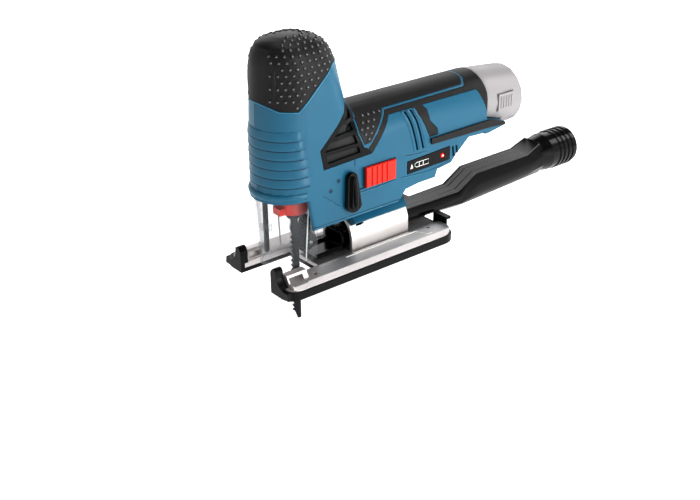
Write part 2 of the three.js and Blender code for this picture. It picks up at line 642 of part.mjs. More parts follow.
// ---- tilt joint ----
function buildTiltJoint() {
  const sector = (from, to, inner, outerRadius, x0, x1, steps = 8) =>
    prism('x', [
      ...arc([0, TILT.z], outerRadius, from, to, steps),
      ...arc([0, TILT.z], inner, to, from, steps),
    ], x0, x1);
  const saddle = cut(
    sector(35, 145, TILT.outer + GAP, 25.2, TILT.rear + 3, TILT.front - 2, 10)
      .intersect(box([-90, 30], [-30, 30], [25, 41])),
    bar('z', 30, 60, [CLAMP_X, 0], 2.3, 12),
  );
  piece('tilt_saddle', saddle, CAST());
  const plate = cut(
    sector(72, 108, 11.6, TILT.inner - GAP, CLAMP_X - 8, CLAMP_X + 8, 4),
    bar('z', 20, 50, [CLAMP_X, 0], 2.2, 12),
  );
  piece('tilt_clamp_plate', plate, STEEL());
  const screw = join(bar('z', 29.8, 40.6, [CLAMP_X, 0], 2, 12));
  piece('tilt_clamp_screw', cut(screw, bar('z', 28, 31.6, [CLAMP_X, 0], 1.1, 6)), DARK_STEEL());
}

// ---- blade area ----
function buildGuards() {
  piece('contact_rod', join(
    bar('z', ROD.low + 1.2, ROD.high, [ROD.x, 0], ROD.radius, 14),
    bar('z', ROD.low, ROD.low + 1.2, [ROD.x, 0], 1.1, 14, ROD.radius),
  ), DARK_STEEL());

  // Clear guard: a tapering shell, open at the back, with a fork that slips round the rod.
  const ring = (z, grow, rear) => {
    const rise = (z - 12.3) / 54.5;
    const front = 74.9 + 2 * rise + grow;
    const half = 16.6 + 4.4 * rise + grow;
    const plan = [...arc([front - 20, 0], 20, -90, 90, 12, half), [rear, half], [rear, -half]];
    return plan.map(([x, y]) => [x, y, z]);
  };
  const shell = cut(
    loft([ring(12.3, 0, 36), ring(66.8, 0, 36)]),
    loft([ring(10, -1.5, 30), ring(70, -1.5, 30)]),
  );
  const clip = cut(
    box([68, 74], [-3.8, 3.8], [41, 46]),
    box([60, ROD.x], [-2.3, 2.3], [30, 50]),
    bar('z', 30, 50, [ROD.x, 0], 2.3, 14),
  );
  piece('chip_guard', shell.add(clip), CLEAR());
}

function buildDustTube() {
  // Stations along the tube: x, top, bottom, half width of the flat top, half width of the belly.
  const section = ([x, top, low, flat, belly]) => [
    [x, flat, top], [x, -flat, top],
    [x, -belly, top - (top - low) * 0.38], [x, -belly, low + (top - low) * 0.3],
    [x, -belly * 0.62, low], [x, belly * 0.62, low],
    [x, belly, low + (top - low) * 0.3], [x, belly, top - (top - low) * 0.38],
  ];
  const stations = [
    [7, 22.4, 9.4, 8.6, 11.4], [-60, 22.4, 9.4, 8.6, 11.4],
    [-92, 22.4, 9.4, 9.4, 13], [-121, 22.6, 8, 10, 14],
    [-141, 34, 9, 10, 14.4], [-205, 34.4, 12, 10.4, 14.6], [-222, 41, 13, 9.6, 15.4],
  ].reverse();
  const shrunk = (wall) => stations.map(([x, top, low, flat, belly]) => (
    [x, top - wall, low + wall, flat - wall * 0.8, belly - wall]
  ));
  const spigotZ = 27;
  const round = (x, radius) => bar('x', x[0], x[1], [0, spigotZ], radius[0], 24, radius[1]);
  const outside = join(
    loft(stations.map(section)),
    round([-234, -221], [17.2, 15]),
    round([-265, -233.5], [17.2, 17.2]),
  );
  const rings = [-262, -256.5, -251, -245.5].map((x) => bar('x', x, x + 2.4, [0, spigotZ], 17.9, 24));
  const bore = join(
    loft(shrunk(1.8).map(([x, ...rest]) => [x === 7 ? 9 : x, ...rest]).map(section)),
    round([-235, -220], [15.2, 12.2]),
    round([-270, -233], [15.2, 15.2]),
  );
  // The scoop lies on the plate in front of the mouth.
  const scoop = cut(box([4, 33], [-11, 11], [8.2, 12]), box([0, 34], [-9.4, 9.4], [9.9, 20]));
  piece('dust_tube', cut(join(outside, ...rings, scoop), bore), GLOSS_BLACK());
}

// ---- electrics ----
function buildElectrics() {
  piece('switch_module', box([-32, -6], [0, 18.9], [58, 81]), BLACK());
  piece('control_board', box([-79, -40], [19.4, 21.2], [62, 76]), GREEN_BOARD());
  const block = cut(bar('x', -73.5, -67.5, [0, MOTOR_Z], 19, 20), bar('x', -80, -60, [0, MOTOR_Z], 5, 12));
  piece('battery_terminal_block', block, BLACK());
}

function buildBattery() {
  const at = [0, MOTOR_Z];
  // The head's foot drops towards the rear.
  const headRing = ([x, z, half, high]) => {
    const outline = arc([0, z], half, 0, 337.5, 15, high);
    return outline.map((point) => [x, ...point]);
  };
  const head = loft([[-178, 96.9, 23.4, 22.6], [-176, 97, 25.6, 25], [-137.5, MOTOR_Z, 25.6, 25.3],
    [BARREL.rear - 0.8, MOTOR_Z, 24.4, 24.2]].map(headRing));
  const lip = region(LIP, 0.6);
  const lipSweep = box([-158, -130], [-40, 40], [60, 84]);
  const stick = bar('x', BARREL.rear - 1.5, BARREL.boreFront - GAP, at, BARREL.bore - 0.5, 24);
  const buttonPocket = (side) => {
    const y = [side * 20.4, side * 40].sort((a, b) => a - b);
    return box([-166, -147], y, [92, 107]);
  };
  const cells = [90, 210, 330].map((turn) => arc(at, 10.75, turn, turn, 1)[0]);
  const cavity = bar('x', -146, BARREL.boreFront - 2, at, BARREL.bore - 2.2, 24);
  const vent = bar('x', -80, -60, at, 3, 10);
  const shell = cut(join(cut(head, lip, lipSweep), stick), cavity, vent, buttonPocket(1), buttonPocket(-1));
  piece('battery_case', shell, GREY());
  cells.forEach((cell, i) => piece(`battery_cell_${i + 1}`, bar('x', -145.5, -80.5, cell, 9.1, 18), STEEL()));
  for (const [side, sign] of [['left', 1], ['right', -1]]) {
    const y = [sign * 22.8, sign * 26.2].sort((a, b) => a - b);
    piece(`battery_button_${side}`, box([-165.6, -147.4], y, [92.4, 106.6]), GREY());
  }
}

buildHousing();
buildRubber();
buildControls();
buildMotor();
buildGearbox();
buildPlunger();
buildOrbitalAction();
buildBase();
buildTiltJoint();
buildGuards();
buildDustTube();
buildElectrics();
buildBattery();

export default part;
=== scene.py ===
# %% [markdown]
# # A cordless jigsaw, finished for its looks
# The engineering model gives every part its place and size. This lesson loads it as a fixed frame, makes
# the finishes, then makes finished pieces over the frame: soft edges, grip dots, ribs and bands.
# All lengths are in metres inside Blender, so a small helper turns millimetres into metres.

import json
import math

import bmesh
import bpy
from mathutils import Matrix, Vector

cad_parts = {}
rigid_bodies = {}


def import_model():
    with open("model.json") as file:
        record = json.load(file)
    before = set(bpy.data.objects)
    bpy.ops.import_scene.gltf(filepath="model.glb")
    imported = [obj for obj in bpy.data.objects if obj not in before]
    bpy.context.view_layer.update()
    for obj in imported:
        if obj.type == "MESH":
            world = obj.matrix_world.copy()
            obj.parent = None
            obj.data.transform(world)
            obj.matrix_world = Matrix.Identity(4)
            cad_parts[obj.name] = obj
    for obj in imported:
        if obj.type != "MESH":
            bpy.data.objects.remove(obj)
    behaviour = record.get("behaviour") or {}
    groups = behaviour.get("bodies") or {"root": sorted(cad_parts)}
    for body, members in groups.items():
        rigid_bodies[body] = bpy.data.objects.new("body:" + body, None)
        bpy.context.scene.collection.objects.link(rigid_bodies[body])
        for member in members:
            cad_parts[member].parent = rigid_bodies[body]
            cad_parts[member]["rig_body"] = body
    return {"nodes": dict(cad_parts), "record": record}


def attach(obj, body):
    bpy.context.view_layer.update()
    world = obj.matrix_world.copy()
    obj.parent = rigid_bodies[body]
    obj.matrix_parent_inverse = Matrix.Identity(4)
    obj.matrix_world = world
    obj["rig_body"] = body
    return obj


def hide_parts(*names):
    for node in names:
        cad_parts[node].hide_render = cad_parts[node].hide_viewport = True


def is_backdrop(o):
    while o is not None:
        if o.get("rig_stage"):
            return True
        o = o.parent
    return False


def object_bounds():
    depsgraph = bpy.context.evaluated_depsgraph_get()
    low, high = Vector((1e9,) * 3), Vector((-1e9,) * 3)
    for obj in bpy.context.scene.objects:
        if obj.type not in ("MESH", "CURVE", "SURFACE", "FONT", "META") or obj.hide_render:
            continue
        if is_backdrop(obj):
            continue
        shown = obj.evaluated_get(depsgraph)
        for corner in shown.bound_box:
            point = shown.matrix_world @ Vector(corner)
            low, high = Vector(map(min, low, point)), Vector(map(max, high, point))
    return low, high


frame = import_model()
cad_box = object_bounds()
NODES = frame["nodes"]
MM = 0.001


def mm(*values):
    """A point given in millimetres, as a vector in metres."""
    return Vector(values) * MM


def link(thing):
    """Puts an object into the scene."""
    bpy.context.scene.collection.objects.link(thing)
    return thing


# %% [markdown]
# ## Finishes
# A finish is a node tree. Colours are written as sRGB hex, as a paint shop would, and one function turns
# them to the linear values that Blender mixes. One more function adds a node with its settings and links.


# %% colour and node helpers
def linear(hex_colour):
    """An sRGB hex colour as linear RGBA."""
    parts = [int(hex_colour[i : i + 2], 16) / 255 for i in (0, 2, 4)]
    return [c / 12.92 if c <= 0.04045 else ((c + 0.055) / 1.055) ** 2.4 for c in parts] + [1.0]


def add(tree, kind, inputs=None, **settings):
    """Adds a node. inputs holds a value or another node's output for each named or numbered socket."""
    node = tree.nodes.new(kind)
    for key, value in settings.items():
        setattr(node, key, value)
    for key, value in (inputs or {}).items():
        if isinstance(value, bpy.types.NodeSocket):
            tree.links.new(value, node.inputs[key])
        else:
            node.inputs[key].default_value = value
    return node


def new_finish(name):
    """An empty material, its tree, its shader and the object coordinates in metres."""
    material = bpy.data.materials.new(name)
    material.use_nodes = True
    tree = material.node_tree
    shader = tree.nodes["Principled BSDF"]
    place = add(tree, "ShaderNodeTexCoord").outputs["Object"]
    return material, tree, shader, place


# %% [markdown]
# ### What every skin shares
# No real surface is even. Its colour drifts a little, its shine varies with wear, and it has a fine relief.
# Corners that the frame leaves sharp are rounded in the shading, which costs no triangles. Plastics and
# metals differ only in their patterns and numbers, so one function links these parts for both.


# %% the shared skin
def link_skin(
    tree, shader, clouds, worn, marks, colours, roughness, spread, relief, depth_mm, corner_mm
):
    """Clouds mix the two colours, worn moves the shine by the spread, and marks are the relief."""
    tone = add(
        tree,
        "ShaderNodeMix",
        {"Factor": clouds, "A": linear(colours[0]), "B": linear(colours[1])},
        data_type="RGBA",
    )
    shine = add(
        tree,
        "ShaderNodeMapRange",
        {
            "Value": worn,
            "From Min": 0.3,
            "From Max": 0.7,
            "To Min": roughness * (1 - spread),
            "To Max": roughness * (1 + spread),
        },
    )
    corner = add(tree, "ShaderNodeBevel", {"Radius": corner_mm * MM}, samples=4)
    bump = add(
        tree,
        "ShaderNodeBump",
        {
            "Height": marks,
            "Strength": relief,
            "Distance": depth_mm * MM,
            "Normal": corner.outputs["Normal"],
        },
    )
    tree.links.new(tone.outputs[2], shader.inputs["Base Color"])
    tree.links.new(shine.outputs["Result"], shader.inputs["Roughness"])
    tree.links.new(bump.outputs["Normal"], shader.inputs["Normal"])


# %% [markdown]
# ### Moulded plastics and rubber
# A moulded skin copies its tool: spark-eroded steel leaves a fine pebble on ABS, and a coarser matt one on
# rubber. Noise of a fraction of a millimetre gives that pebble without an image.


# %% the moulded finish
PLASTIC_IOR = 1.5


def moulded(name, colour, shade, roughness, grain_mm, relief, corner_mm=0.5, coat=0.0, gloss=0.5):
    """A moulded polymer. shade is the colour in its darker patches, and relief the depth of the pebble."""
    material, tree, shader, place = new_finish(name)
    patches = add(tree, "ShaderNodeTexNoise", {"Vector": place, "Scale": 18.0, "Detail": 3.0})
    pebble = add(
        tree,
        "ShaderNodeTexNoise",
        {"Vector": place, "Scale": 1 / (grain_mm * MM), "Detail": 2.0, "Roughness": 0.6},
    )
    drift, grain = patches.outputs["Fac"], pebble.outputs["Fac"]
    link_skin(
        tree, shader, drift, drift, grain, (colour, shade), roughness, 0.12, relief, 0.1, corner_mm
    )
    shader.inputs["IOR"].default_value = PLASTIC_IOR
    shader.inputs["Coat Weight"].default_value = coat
    shader.inputs["Coat Roughness"].default_value = 0.08
    shader.inputs["Specular IOR Level"].default_value = gloss
    return material


FINISH = {
    # Glass-filled nylon in a deep blue, with a satin skin.
    "blue_plastic": moulded("satin_blue_nylon", "1F6883", "1A5C74", 0.34, 0.7, 0.3, 0.7),
    # Thermoplastic rubber overmoulded on the nylon: matt, with a broad soft shine.
    "black_rubber": moulded("overmoulded_rubber", "1F1E1E", "171616", 0.46, 0.9, 0.5, 0.6, gloss=0.36),
    "black_plastic": moulded("satin_black_nylon", "101011", "0B0B0C", 0.34, 0.6, 0.3, 0.5, gloss=0.24),
    "gloss_black": moulded("polished_black_abs", "0A0A0B", "070708", 0.17, 3.0, 0.05, 0.6, gloss=0.3),
    "red_plastic": moulded("signal_red_acetal", "E0301A", "CC2511", 0.33, 0.8, 0.2, 0.4),
    "grey_plastic": moulded("pale_grey_abs", "A09D9E", "949192", 0.42, 0.7, 0.3, 0.5),
    "circuit_board": moulded("solder_resist_green", "1F6B45", "185A39", 0.4, 1.2, 0.3, 0.2),
    # The small marks and edges that are laid over those skins. The dot, blue bead, tube edge and clear edge
    # colours are painted highlights, the slot and blue shade colours are painted shade, and the white is
    # print and, on the base lines, a painted highlight.
    "dot_rubber_highlight": moulded(
        "glossy_grip_dot_painted_highlight", "3C3B3B", "333232", 0.16, 0.8, 0.05, 0.1, gloss=1.0, coat=1.0
    ),
    "painted_shade_black": moulded("shadowed_slot", "0D0E10", "08090A", 0.5, 0.8, 0.2, 0.1),
    "blue_painted_highlight": moulded("blue_nylon_painted_highlight", "4087A3", "387B96", 0.28, 0.7, 0.2, 0.1),
    "blue_shadow": moulded("blue_nylon_in_shade", "123A50", "0E3043", 0.5, 0.7, 0.2, 0.1),
    "painted_edge_highlight": moulded("black_abs_rubbed_edge", "4A4A4C", "3E3E40", 0.2, 0.8, 0.05, 0.1, gloss=0.9),
    "clear_edge_painted_highlight": moulded("polished_clear_edge", "D6DADA", "C4C9C9", 0.15, 0.8, 0.05, 0.1, gloss=0.8),
    "white_print_and_highlight": moulded("white_print_and_painted_highlight", "E9E9E6", "DCDCD8", 0.45, 1.0, 0.1, 0.1),
}
print("moulded finishes:", len(FINISH))


# %% [markdown]
# ### Metals
# The base is an aluminium die casting, bead-blasted to a pale satin. Ground steel carries fine scratches
# along one direction, made here by stretching a noise. Blackened steel is the same, but dark.


# %% the metal finish
def metal(name, colour, shade, roughness, scratch_mm, stretch, relief, corner_mm=0.5, metallic=1.0):
    """A metal. stretch multiplies the pattern's frequency along X, Y and Z, so a low value draws lines."""
    material, tree, shader, place = new_finish(name)
    lines = add(tree, "ShaderNodeMapping", {"Vector": place, "Scale": stretch})
    scratches = add(
        tree,
        "ShaderNodeTexNoise",
        {"Vector": lines.outputs["Vector"], "Scale": 1 / (scratch_mm * MM), "Detail": 3.0},
    )
    clouds = add(tree, "ShaderNodeTexNoise", {"Vector": place, "Scale": 35.0, "Detail": 2.0})
    drift, marks = clouds.outputs["Fac"], scratches.outputs["Fac"]
    link_skin(
        tree, shader, drift, marks, marks, (colour, shade), roughness, 0.2, relief, 0.05, corner_mm
    )
    shader.inputs["Metallic"].default_value = metallic
    return material


EVEN = (1.0, 1.0, 1.0)
FINISH["cast_metal"] = metal("blasted_aluminium", "DCD8D7", "C4C0BF", 0.54, 0.9, EVEN, 1.0, 0.8)
FINISH["arch_metal"] = metal("bright_machined_aluminium", "E4E1DF", "DBD8D6", 0.4, 0.3, (0.1, 1, 1), 0.06)
FINISH["steel"] = metal("ground_steel", "B9BABD", "A9AAAE", 0.26, 0.4, (1, 1, 0.05), 0.3)
FINISH["dark_steel"] = metal("blackened_steel", "3C3C40", "2E2E32", 0.34, 0.4, (1, 1, 0.1), 0.3)
FINISH["brass"] = metal("sintered_bearing_brass", "B08D4A", "9C7B3E", 0.36, 0.5, EVEN, 0.3)
FINISH["copper"] = metal("lacquered_copper", "A4603A", "8C4E2E", 0.35, 0.4, (0.1, 1, 1), 0.3)
FINISH["magnet"] = metal("sintered_ferrite", "343436", "29292B", 0.55, 0.6, EVEN, 0.4, metallic=0.4)
FINISH["cell"] = metal("nickel_plated_can", "B8B8BD", "A8A8AE", 0.25, 0.4, (0.1, 1, 1), 0.2)
print("finishes with the metals:", len(FINISH))


# %% [markdown]
# ### Clear polycarbonate
# The chip guard is a thin clear moulding. A transparent shader lets the blade show through it, and more of
# its own shine appears where it is seen edge on, which is what a wall of clear plastic does.


# %% the clear finish
def clear_plastic():
    """A thin clear wall: see-through from the front, and brighter where it is seen edge on."""
    material, tree, shader, place = new_finish("clear_polycarbonate")
    haze = add(tree, "ShaderNodeTexNoise", {"Vector": place, "Scale": 60.0, "Detail": 2.0})
    shine = add(
        tree,
        "ShaderNodeMapRange",
        {"Value": haze.outputs["Fac"], "To Min": 0.04, "To Max": 0.12},
    )
    facing = add(tree, "ShaderNodeLayerWeight", {"Blend": 0.35})
    veil = add(
        tree,
        "ShaderNodeMapRange",
        {"Value": facing.outputs["Facing"], "To Min": 0.03, "To Max": 0.5},
    )
    shader.inputs["Base Color"].default_value = linear("8D9193")
    shader.inputs["IOR"].default_value = 1.585
    shader.inputs["Specular IOR Level"].default_value = 0.6
    tree.links.new(shine.outputs["Result"], shader.inputs["Roughness"])
    tree.links.new(veil.outputs["Result"], shader.inputs["Alpha"])
    return material


FINISH["clear_plastic"] = clear_plastic()
print("all finishes:", len(FINISH))

# %% [markdown]
# ## Finished copies of the frame's parts
# The frame's meshes are loose triangles. A finished piece starts as a copy: its doubled corners are merged,
# flat runs of triangles are joined into single faces, and shallow angles are shaded as curves. A real
# bevel is added where the shape is simple enough to take one.


# %% shading and edges
CURVED_ANGLE = 38  # degrees; a shallower angle between faces is shaded as a curve
BEVEL_ANGLE = 30  # degrees; a sharper edge takes a real bevel


def plain_mesh(piece):
    """Turns a piece with modifiers into a plain mesh, and removes the modifiers."""
    graph = bpy.context.evaluated_depsgraph_get()
    baked = bpy.data.meshes.new_from_object(piece.evaluated_get(graph), depsgraph=graph)
    piece.modifiers.clear()
    piece.data = baked
    return piece


def new_piece(name, mesh, finish):
    """An object in the scene with one finish."""
    piece = link(bpy.data.objects.new(name, mesh))
    mesh.materials.clear()
    mesh.materials.append(FINISH[finish])
    return piece


def smooth(piece, angle=CURVED_ANGLE):
    """Shades angles under the limit as curves, and keeps flats flat beside them."""
    mesh = piece.data
    for face in mesh.polygons:
        face.use_smooth = True
    mesh.set_sharp_from_angle(angle=math.radians(angle))
    weigh = piece.modifiers.new("flats", "WEIGHTED_NORMAL")
    weigh.keep_sharp = True
    return plain_mesh(piece)


def rounded(piece, width_mm):
    """A real bevel on the sharp edges."""
    bevel = piece.modifiers.new("edges", "BEVEL")
    bevel.width = width_mm * MM
    bevel.segments = 2
    bevel.limit_method = "ANGLE"
    bevel.angle_limit = math.radians(BEVEL_ANGLE)
    bevel.use_clamp_overlap = True
    return plain_mesh(piece)


# %% [markdown]
# A copy takes over two things from its node: the body it rides on and the node it replaces. Some parts
# have two finishes on one mesh, such as a blade that is bright only at its teeth, so a second function
# repaints the faces that pass a test of their place and direction.

# %% copies of nodes
SLOTS = {entry["node"]: entry["material_slot"] for entry in frame["record"]["subparts"]}
WELD_MM = 0.002
FLAT_ANGLE = 0.6  # degrees; faces closer to one plane than this are joined


def copy_of(node, finish, edge_mm=0.0):
    """A finished copy of a CAD node, which it replaces."""
    mesh = NODES[node].data.copy()
    work = bmesh.new()
    work.from_mesh(mesh)
    bmesh.ops.remove_doubles(work, verts=work.verts, dist=WELD_MM * MM)
    flat = math.radians(FLAT_ANGLE)
    bmesh.ops.dissolve_limit(work, angle_limit=flat, verts=work.verts, edges=work.edges)
    work.to_mesh(mesh)
    work.free()
    for layer in [a.name for a in mesh.attributes if a.name == "custom_normal"]:
        mesh.attributes.remove(mesh.attributes[layer])
    piece = new_piece(f"finished_{node}", mesh, finish)
    if edge_mm:
        rounded(piece, edge_mm)
    smooth(piece)
    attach(piece, NODES[node]["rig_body"])
    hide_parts(node)
    return piece


def repaint(piece, finish, wanted):
    """Gives a second finish to the faces whose centre, in millimetres, and normal pass the test."""
    piece.data.materials.append(FINISH[finish])
    index = len(piece.data.materials) - 1
    count = 0
    for face in piece.data.polygons:
        if wanted(face.center / MM, face.normal):
            face.material_index = index
            count += 1
    print(piece.name, finish, "faces:", count)


print("nodes with a slot:", len(SLOTS))

# %% [markdown]
# Motor, gears, bushings, board and cells are hidden while the case is closed. They could be modelled again,
# but their frame meshes already have the true shape, so they only take the finish of their slot.

# %% the inner parts keep their frame mesh and take a finish
for name, node in NODES.items():
    node.data.materials.clear()
    node.data.materials.append(FINISH[SLOTS[name]])
print("slots in use:", ", ".join(sorted(set(SLOTS.values()))))

# %% [markdown]
# ## The outside
# The shells and skins are curved, so their copies are shaded smooth. The base, shoe, saddle, clamp and
# switch are blocks and plates, so they take a real bevel that catches the light along each edge.

# %% finished outside parts
SKINS = {
    "housing_left": "blue_plastic",
    "housing_right": "blue_plastic",
    "barrel_grip": "black_rubber",
    "barrel_trim": "black_rubber",
    "vent_grille_left": "black_plastic",
    "vent_grille_right": "black_plastic",
    "dust_tube": "gloss_black",
    "chip_guard": "clear_plastic",
    "battery_case": "grey_plastic",
}
BLOCKS = {
    "base_plate": ("cast_metal", 0.35),
    "glide_shoe": ("black_plastic", 0.35),
    "tilt_saddle": ("blue_plastic", 0.5),
    "orbital_lever": ("gloss_black", 0.5),
    "switch_slider": ("red_plastic", 0.3),
    "side_rail_left": ("black_rubber", 0.3),
    "side_rail_right": ("black_rubber", 0.3),
    "display_panel": ("gloss_black", 0.1),
    "release_ring": ("red_plastic", 0.4),
    "blade_clamp": ("dark_steel", 0.3),
    "guide_roller": ("dark_steel", 0.2),
    "roller_fork": ("dark_steel", 0.3),
    "gearbox_frame": ("cast_metal", 0.4),
    "battery_button_left": ("grey_plastic", 0.6),
    "battery_button_right": ("grey_plastic", 0.6),
    "contact_rod": ("dark_steel", 0.0),
    "saw_blade": ("dark_steel", 0.0),
}
PIECES = {node: copy_of(node, finish) for node, finish in SKINS.items()}
for node, (finish, edge_mm) in BLOCKS.items():
    PIECES[node] = copy_of(node, finish, edge_mm)
print("finished copies:", len(PIECES))

# %% [markdown]
# Behind the vent grille the real shell is open to the dark inside, so the recess under it is painted
# nearly black as painted shade. The tilt arch is turned bright, while the rest of the base stays as blasted.

# %% painted shade in the vents and a bright arch
VENT = [(-9, 90.6), (35.5, 88.9), (38.4, 104.1), (5, 137), (2.2, 137), (2.4, 108)]
VENT += [(-2.6, 96.4), (-5.6, 95.6)]
BLADE_TEETH_X = 46  # the teeth stand in front of this, and their cutting edges are ground bright
ROD_TOP_Z = 66  # the contact rod's upper end is bright


def inside(outline, x, z):
    """Whether a point is inside an outline seen from the side."""
    hit = False
    for (ax, az), (bx, bz) in zip(outline, outline[1:] + outline[:1]):
        if (az > z) != (bz > z) and x < ax + (bx - ax) * (z - az) / (bz - az):
            hit = not hit
    return hit


def in_vent_recess(centre, normal):
    """The recess floor under the grille, which the side view sees."""
    return inside(VENT, centre.x, centre.z) and abs(normal.y) > 0.2 and normal.y * centre.y > 0


def on_arch(centre, normal):
    """The tilt arch that stands on the middle of the base."""
    return -56.1 < centre.x < 3.1 and abs(centre.y) < 18.6 and centre.z > 10.2


# The recess under each grille takes the near-black slot colour, a painted shade.
for side in ("left", "right"):
    repaint(PIECES[f"housing_{side}"], "painted_shade_black", in_vent_recess)
repaint(PIECES["base_plate"], "arch_metal", on_arch)
repaint(PIECES["saw_blade"], "steel", lambda c, normal: c.x > BLADE_TEETH_X and abs(normal.y) < 0.5)
repaint(PIECES["contact_rod"], "steel", lambda c, normal: c.z > ROD_TOP_Z)

# %% [markdown]
# ## The grip tower's surface
# The tower is a stack of plans with an elliptical nose and tail. A spline through the stack gives a smooth
# skin. The rubber cap, the stepped bands of the nose, the bead and the grip dots all lie on it.

# %% tower plans
# Height, front, rear and half width, in millimetres, of the tower's plans.
TOWER = [
    (68, 79, -3, 27),
    (75.5, 78, -3, 27),
    (77, 77, -3, 27),
    (120, 76.8, -9, 27),
    (132, 76.2, 1, 27),
    (144, 75.4, 4.7, 27),
    (165, 74.4, 10.5, 26.2),
    (171.5, 73.9, 13.4, 25.5),
    (176.4, 72.7, 16, 24.1),
    (179.6, 71.3, 18.2, 22.4),
    (182.4, 69.9, 21.4, 19.9),
    (185, 65.3, 27, 15.2),
    (186.8, 57, 35, 8.6),
]
NOSE = 27  # length of the elliptical nose
TAIL_SHARE = 0.36  # of the plan's length


def blend_rows(rows, t):
    """A Catmull-Rom spline through rows of numbers, at row number t."""
    i = min(int(t), len(rows) - 2)
    f = t - i
    before, a, b, after = (rows[max(0, min(len(rows) - 1, i + k))] for k in (-1, 0, 1, 2))
    return [
        0.5 * (2 * q + (r - p) * f + (2 * p - 5 * q + 4 * r - s) * f * f + (3 * q - p - 3 * r + s) * f**3)
        for p, q, r, s in zip(before, a, b, after)
    ]


def tower_plan(z):
    """Front, rear and half width at a height, by straight steps between the plans."""
    for low, high in zip(TOWER, TOWER[1:]):
        if z <= high[0]:
            f = (z - low[0]) / (high[0] - low[0])
            return [a + (b - a) * f for a, b in zip(low[1:], high[1:])]
    return list(TOWER[-1][1:])


def plan_ends(front, rear):
    """Lengths of a plan's elliptical nose and tail."""
    return min(NOSE, (front - rear) / 2), (front - rear) * TAIL_SHARE


def plan_point(front, rear, half, turn):
    """A point of a plan and its outward direction. turn runs from 0 at the nose to 180 at the tail."""
    nose, tail = plan_ends(front, rear)
    a = math.radians(turn)
    if turn <= 90:
        centre, reach = front - nose, nose
    else:
        centre, reach = rear + tail, tail
    point = Vector((centre + reach * math.cos(a), half * math.sin(a)))
    out = Vector((math.cos(a) / reach, math.sin(a) / half)).normalized()
    return point, out


def tower_y(x, z):
    """The tower's half width at a place along it."""
    front, rear, half = tower_plan(z)
    nose, tail = plan_ends(front, rear)
    if x > front - nose:
        u = (x - front + nose) / nose
    elif x < rear + tail:
        u = (rear + tail - x) / tail
    else:
        u = 0
    return half * math.sqrt(max(0.0, 1 - u * u))


print("tower plans:", len(TOWER), "half width at 100 mm:", tower_y(40, 100), "mm")

# %% [markdown]
# Nearly every added piece is a skin stretched over rings of points, so one function makes them all. It caps
# both ends, or joins the last ring to the first. The tower's own skin is such a stack of rings, with two
# small ones that close its crown.

# %% skins over rings
DOME_Z = 165  # the top starts to round over here
DOME_HEIGHT = 21.8
RING_STEPS = 46
RING_SIDES = 96


def ring_mesh(name, rings, closed=False):
    """A mesh through rings of points in metres, capped at both ends or closed into a loop."""
    work = bmesh.new()
    rows = [[work.verts.new(point) for point in ring] for ring in rings]
    for low, high in list(zip(rows, rows[1:])) + ([(rows[-1], rows[0])] if closed else []):
        for i in range(len(low)):
            j = (i + 1) % len(low)
            work.faces.new((low[i], low[j], high[j], high[i]))
    if not closed:
        work.faces.new(list(reversed(rows[0])))
        work.faces.new(rows[-1])
    bmesh.ops.recalc_face_normals(work, faces=work.faces)
    mesh = bpy.data.meshes.new(name)
    work.to_mesh(mesh)
    work.free()
    return mesh


def skin_mesh(name, rings):
    """A capped mesh through rings of points in millimetres."""
    return ring_mesh(name, [[mm(*point) for point in ring] for ring in rings])


def tower_rings(depth, first):
    """Rings of the smooth tower skin from plan number first up to its crown, moved inwards by depth."""
    rings = []
    last = len(TOWER) - 1
    for k in range(RING_STEPS + 1):
        z, front, rear, half = blend_rows(TOWER, first + (last - first) * k / RING_STEPS)
        dome = max(0, (z - DOME_Z) / DOME_HEIGHT)
        ring = []
        for i in range(RING_SIDES):
            turn = 360 * i / RING_SIDES
            point, out = plan_point(front - depth, rear + depth, half - depth, min(turn, 360 - turn))
            ring.append((point.x, point.y if turn <= 180 else -point.y, z - depth * dome))
        rings.append(ring)
    z, front, rear, half = TOWER[-1]
    middle = (front + rear) / 2
    for share, rise in ((0.6, 0.35), (0.25, 0.5)):
        crown = [(middle + (x - middle) * share, y * share, z + rise - depth) for x, y, _ in rings[-1]]
        rings.append(crown)
    return rings


print("rings of the tower skin:", len(tower_rings(0, 0)), "of", RING_SIDES, "points")

# %% [markdown]
# A piece is cut to shape by a plate with the outline seen from the side. The exact boolean solver copes with
# any mesh, but these are all closed, and the manifold solver is faster on closed meshes.

# %% cutting and settling
CUT_HALF = 60  # half thickness of a cutting plate, well past the tool's sides


def side_plate(name, outline, low, high):
    """A plate with an outline seen from the side, between two distances from the middle plane."""
    return skin_mesh(name, [[(x, y, z) for x, z in outline] for y in (low, high)])


def boolean(piece, other_mesh, operation):
    """Cuts a piece with another mesh, or keeps what they share."""
    other = link(bpy.data.objects.new("cutter", other_mesh))
    change = piece.modifiers.new(operation, "BOOLEAN")
    change.operation = operation
    change.solver = "MANIFOLD"
    change.object = other
    plain_mesh(piece)
    bpy.data.objects.remove(other)


def settle(piece, body, angle=CURVED_ANGLE):
    """Smooths an added piece, and gives it its body."""
    smooth(piece, angle)
    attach(piece, body)
    return piece


print("cutting plate thickness:", 2 * CUT_HALF, "mm")


# %% [markdown]
# ### The rubber cap
# The cap is a thin skin of rubber moulded over the top of the tower. It is cut from the smooth skin with
# the same side outline as the frame's cap, then hollowed, and it takes the place of the frame's faceted one.

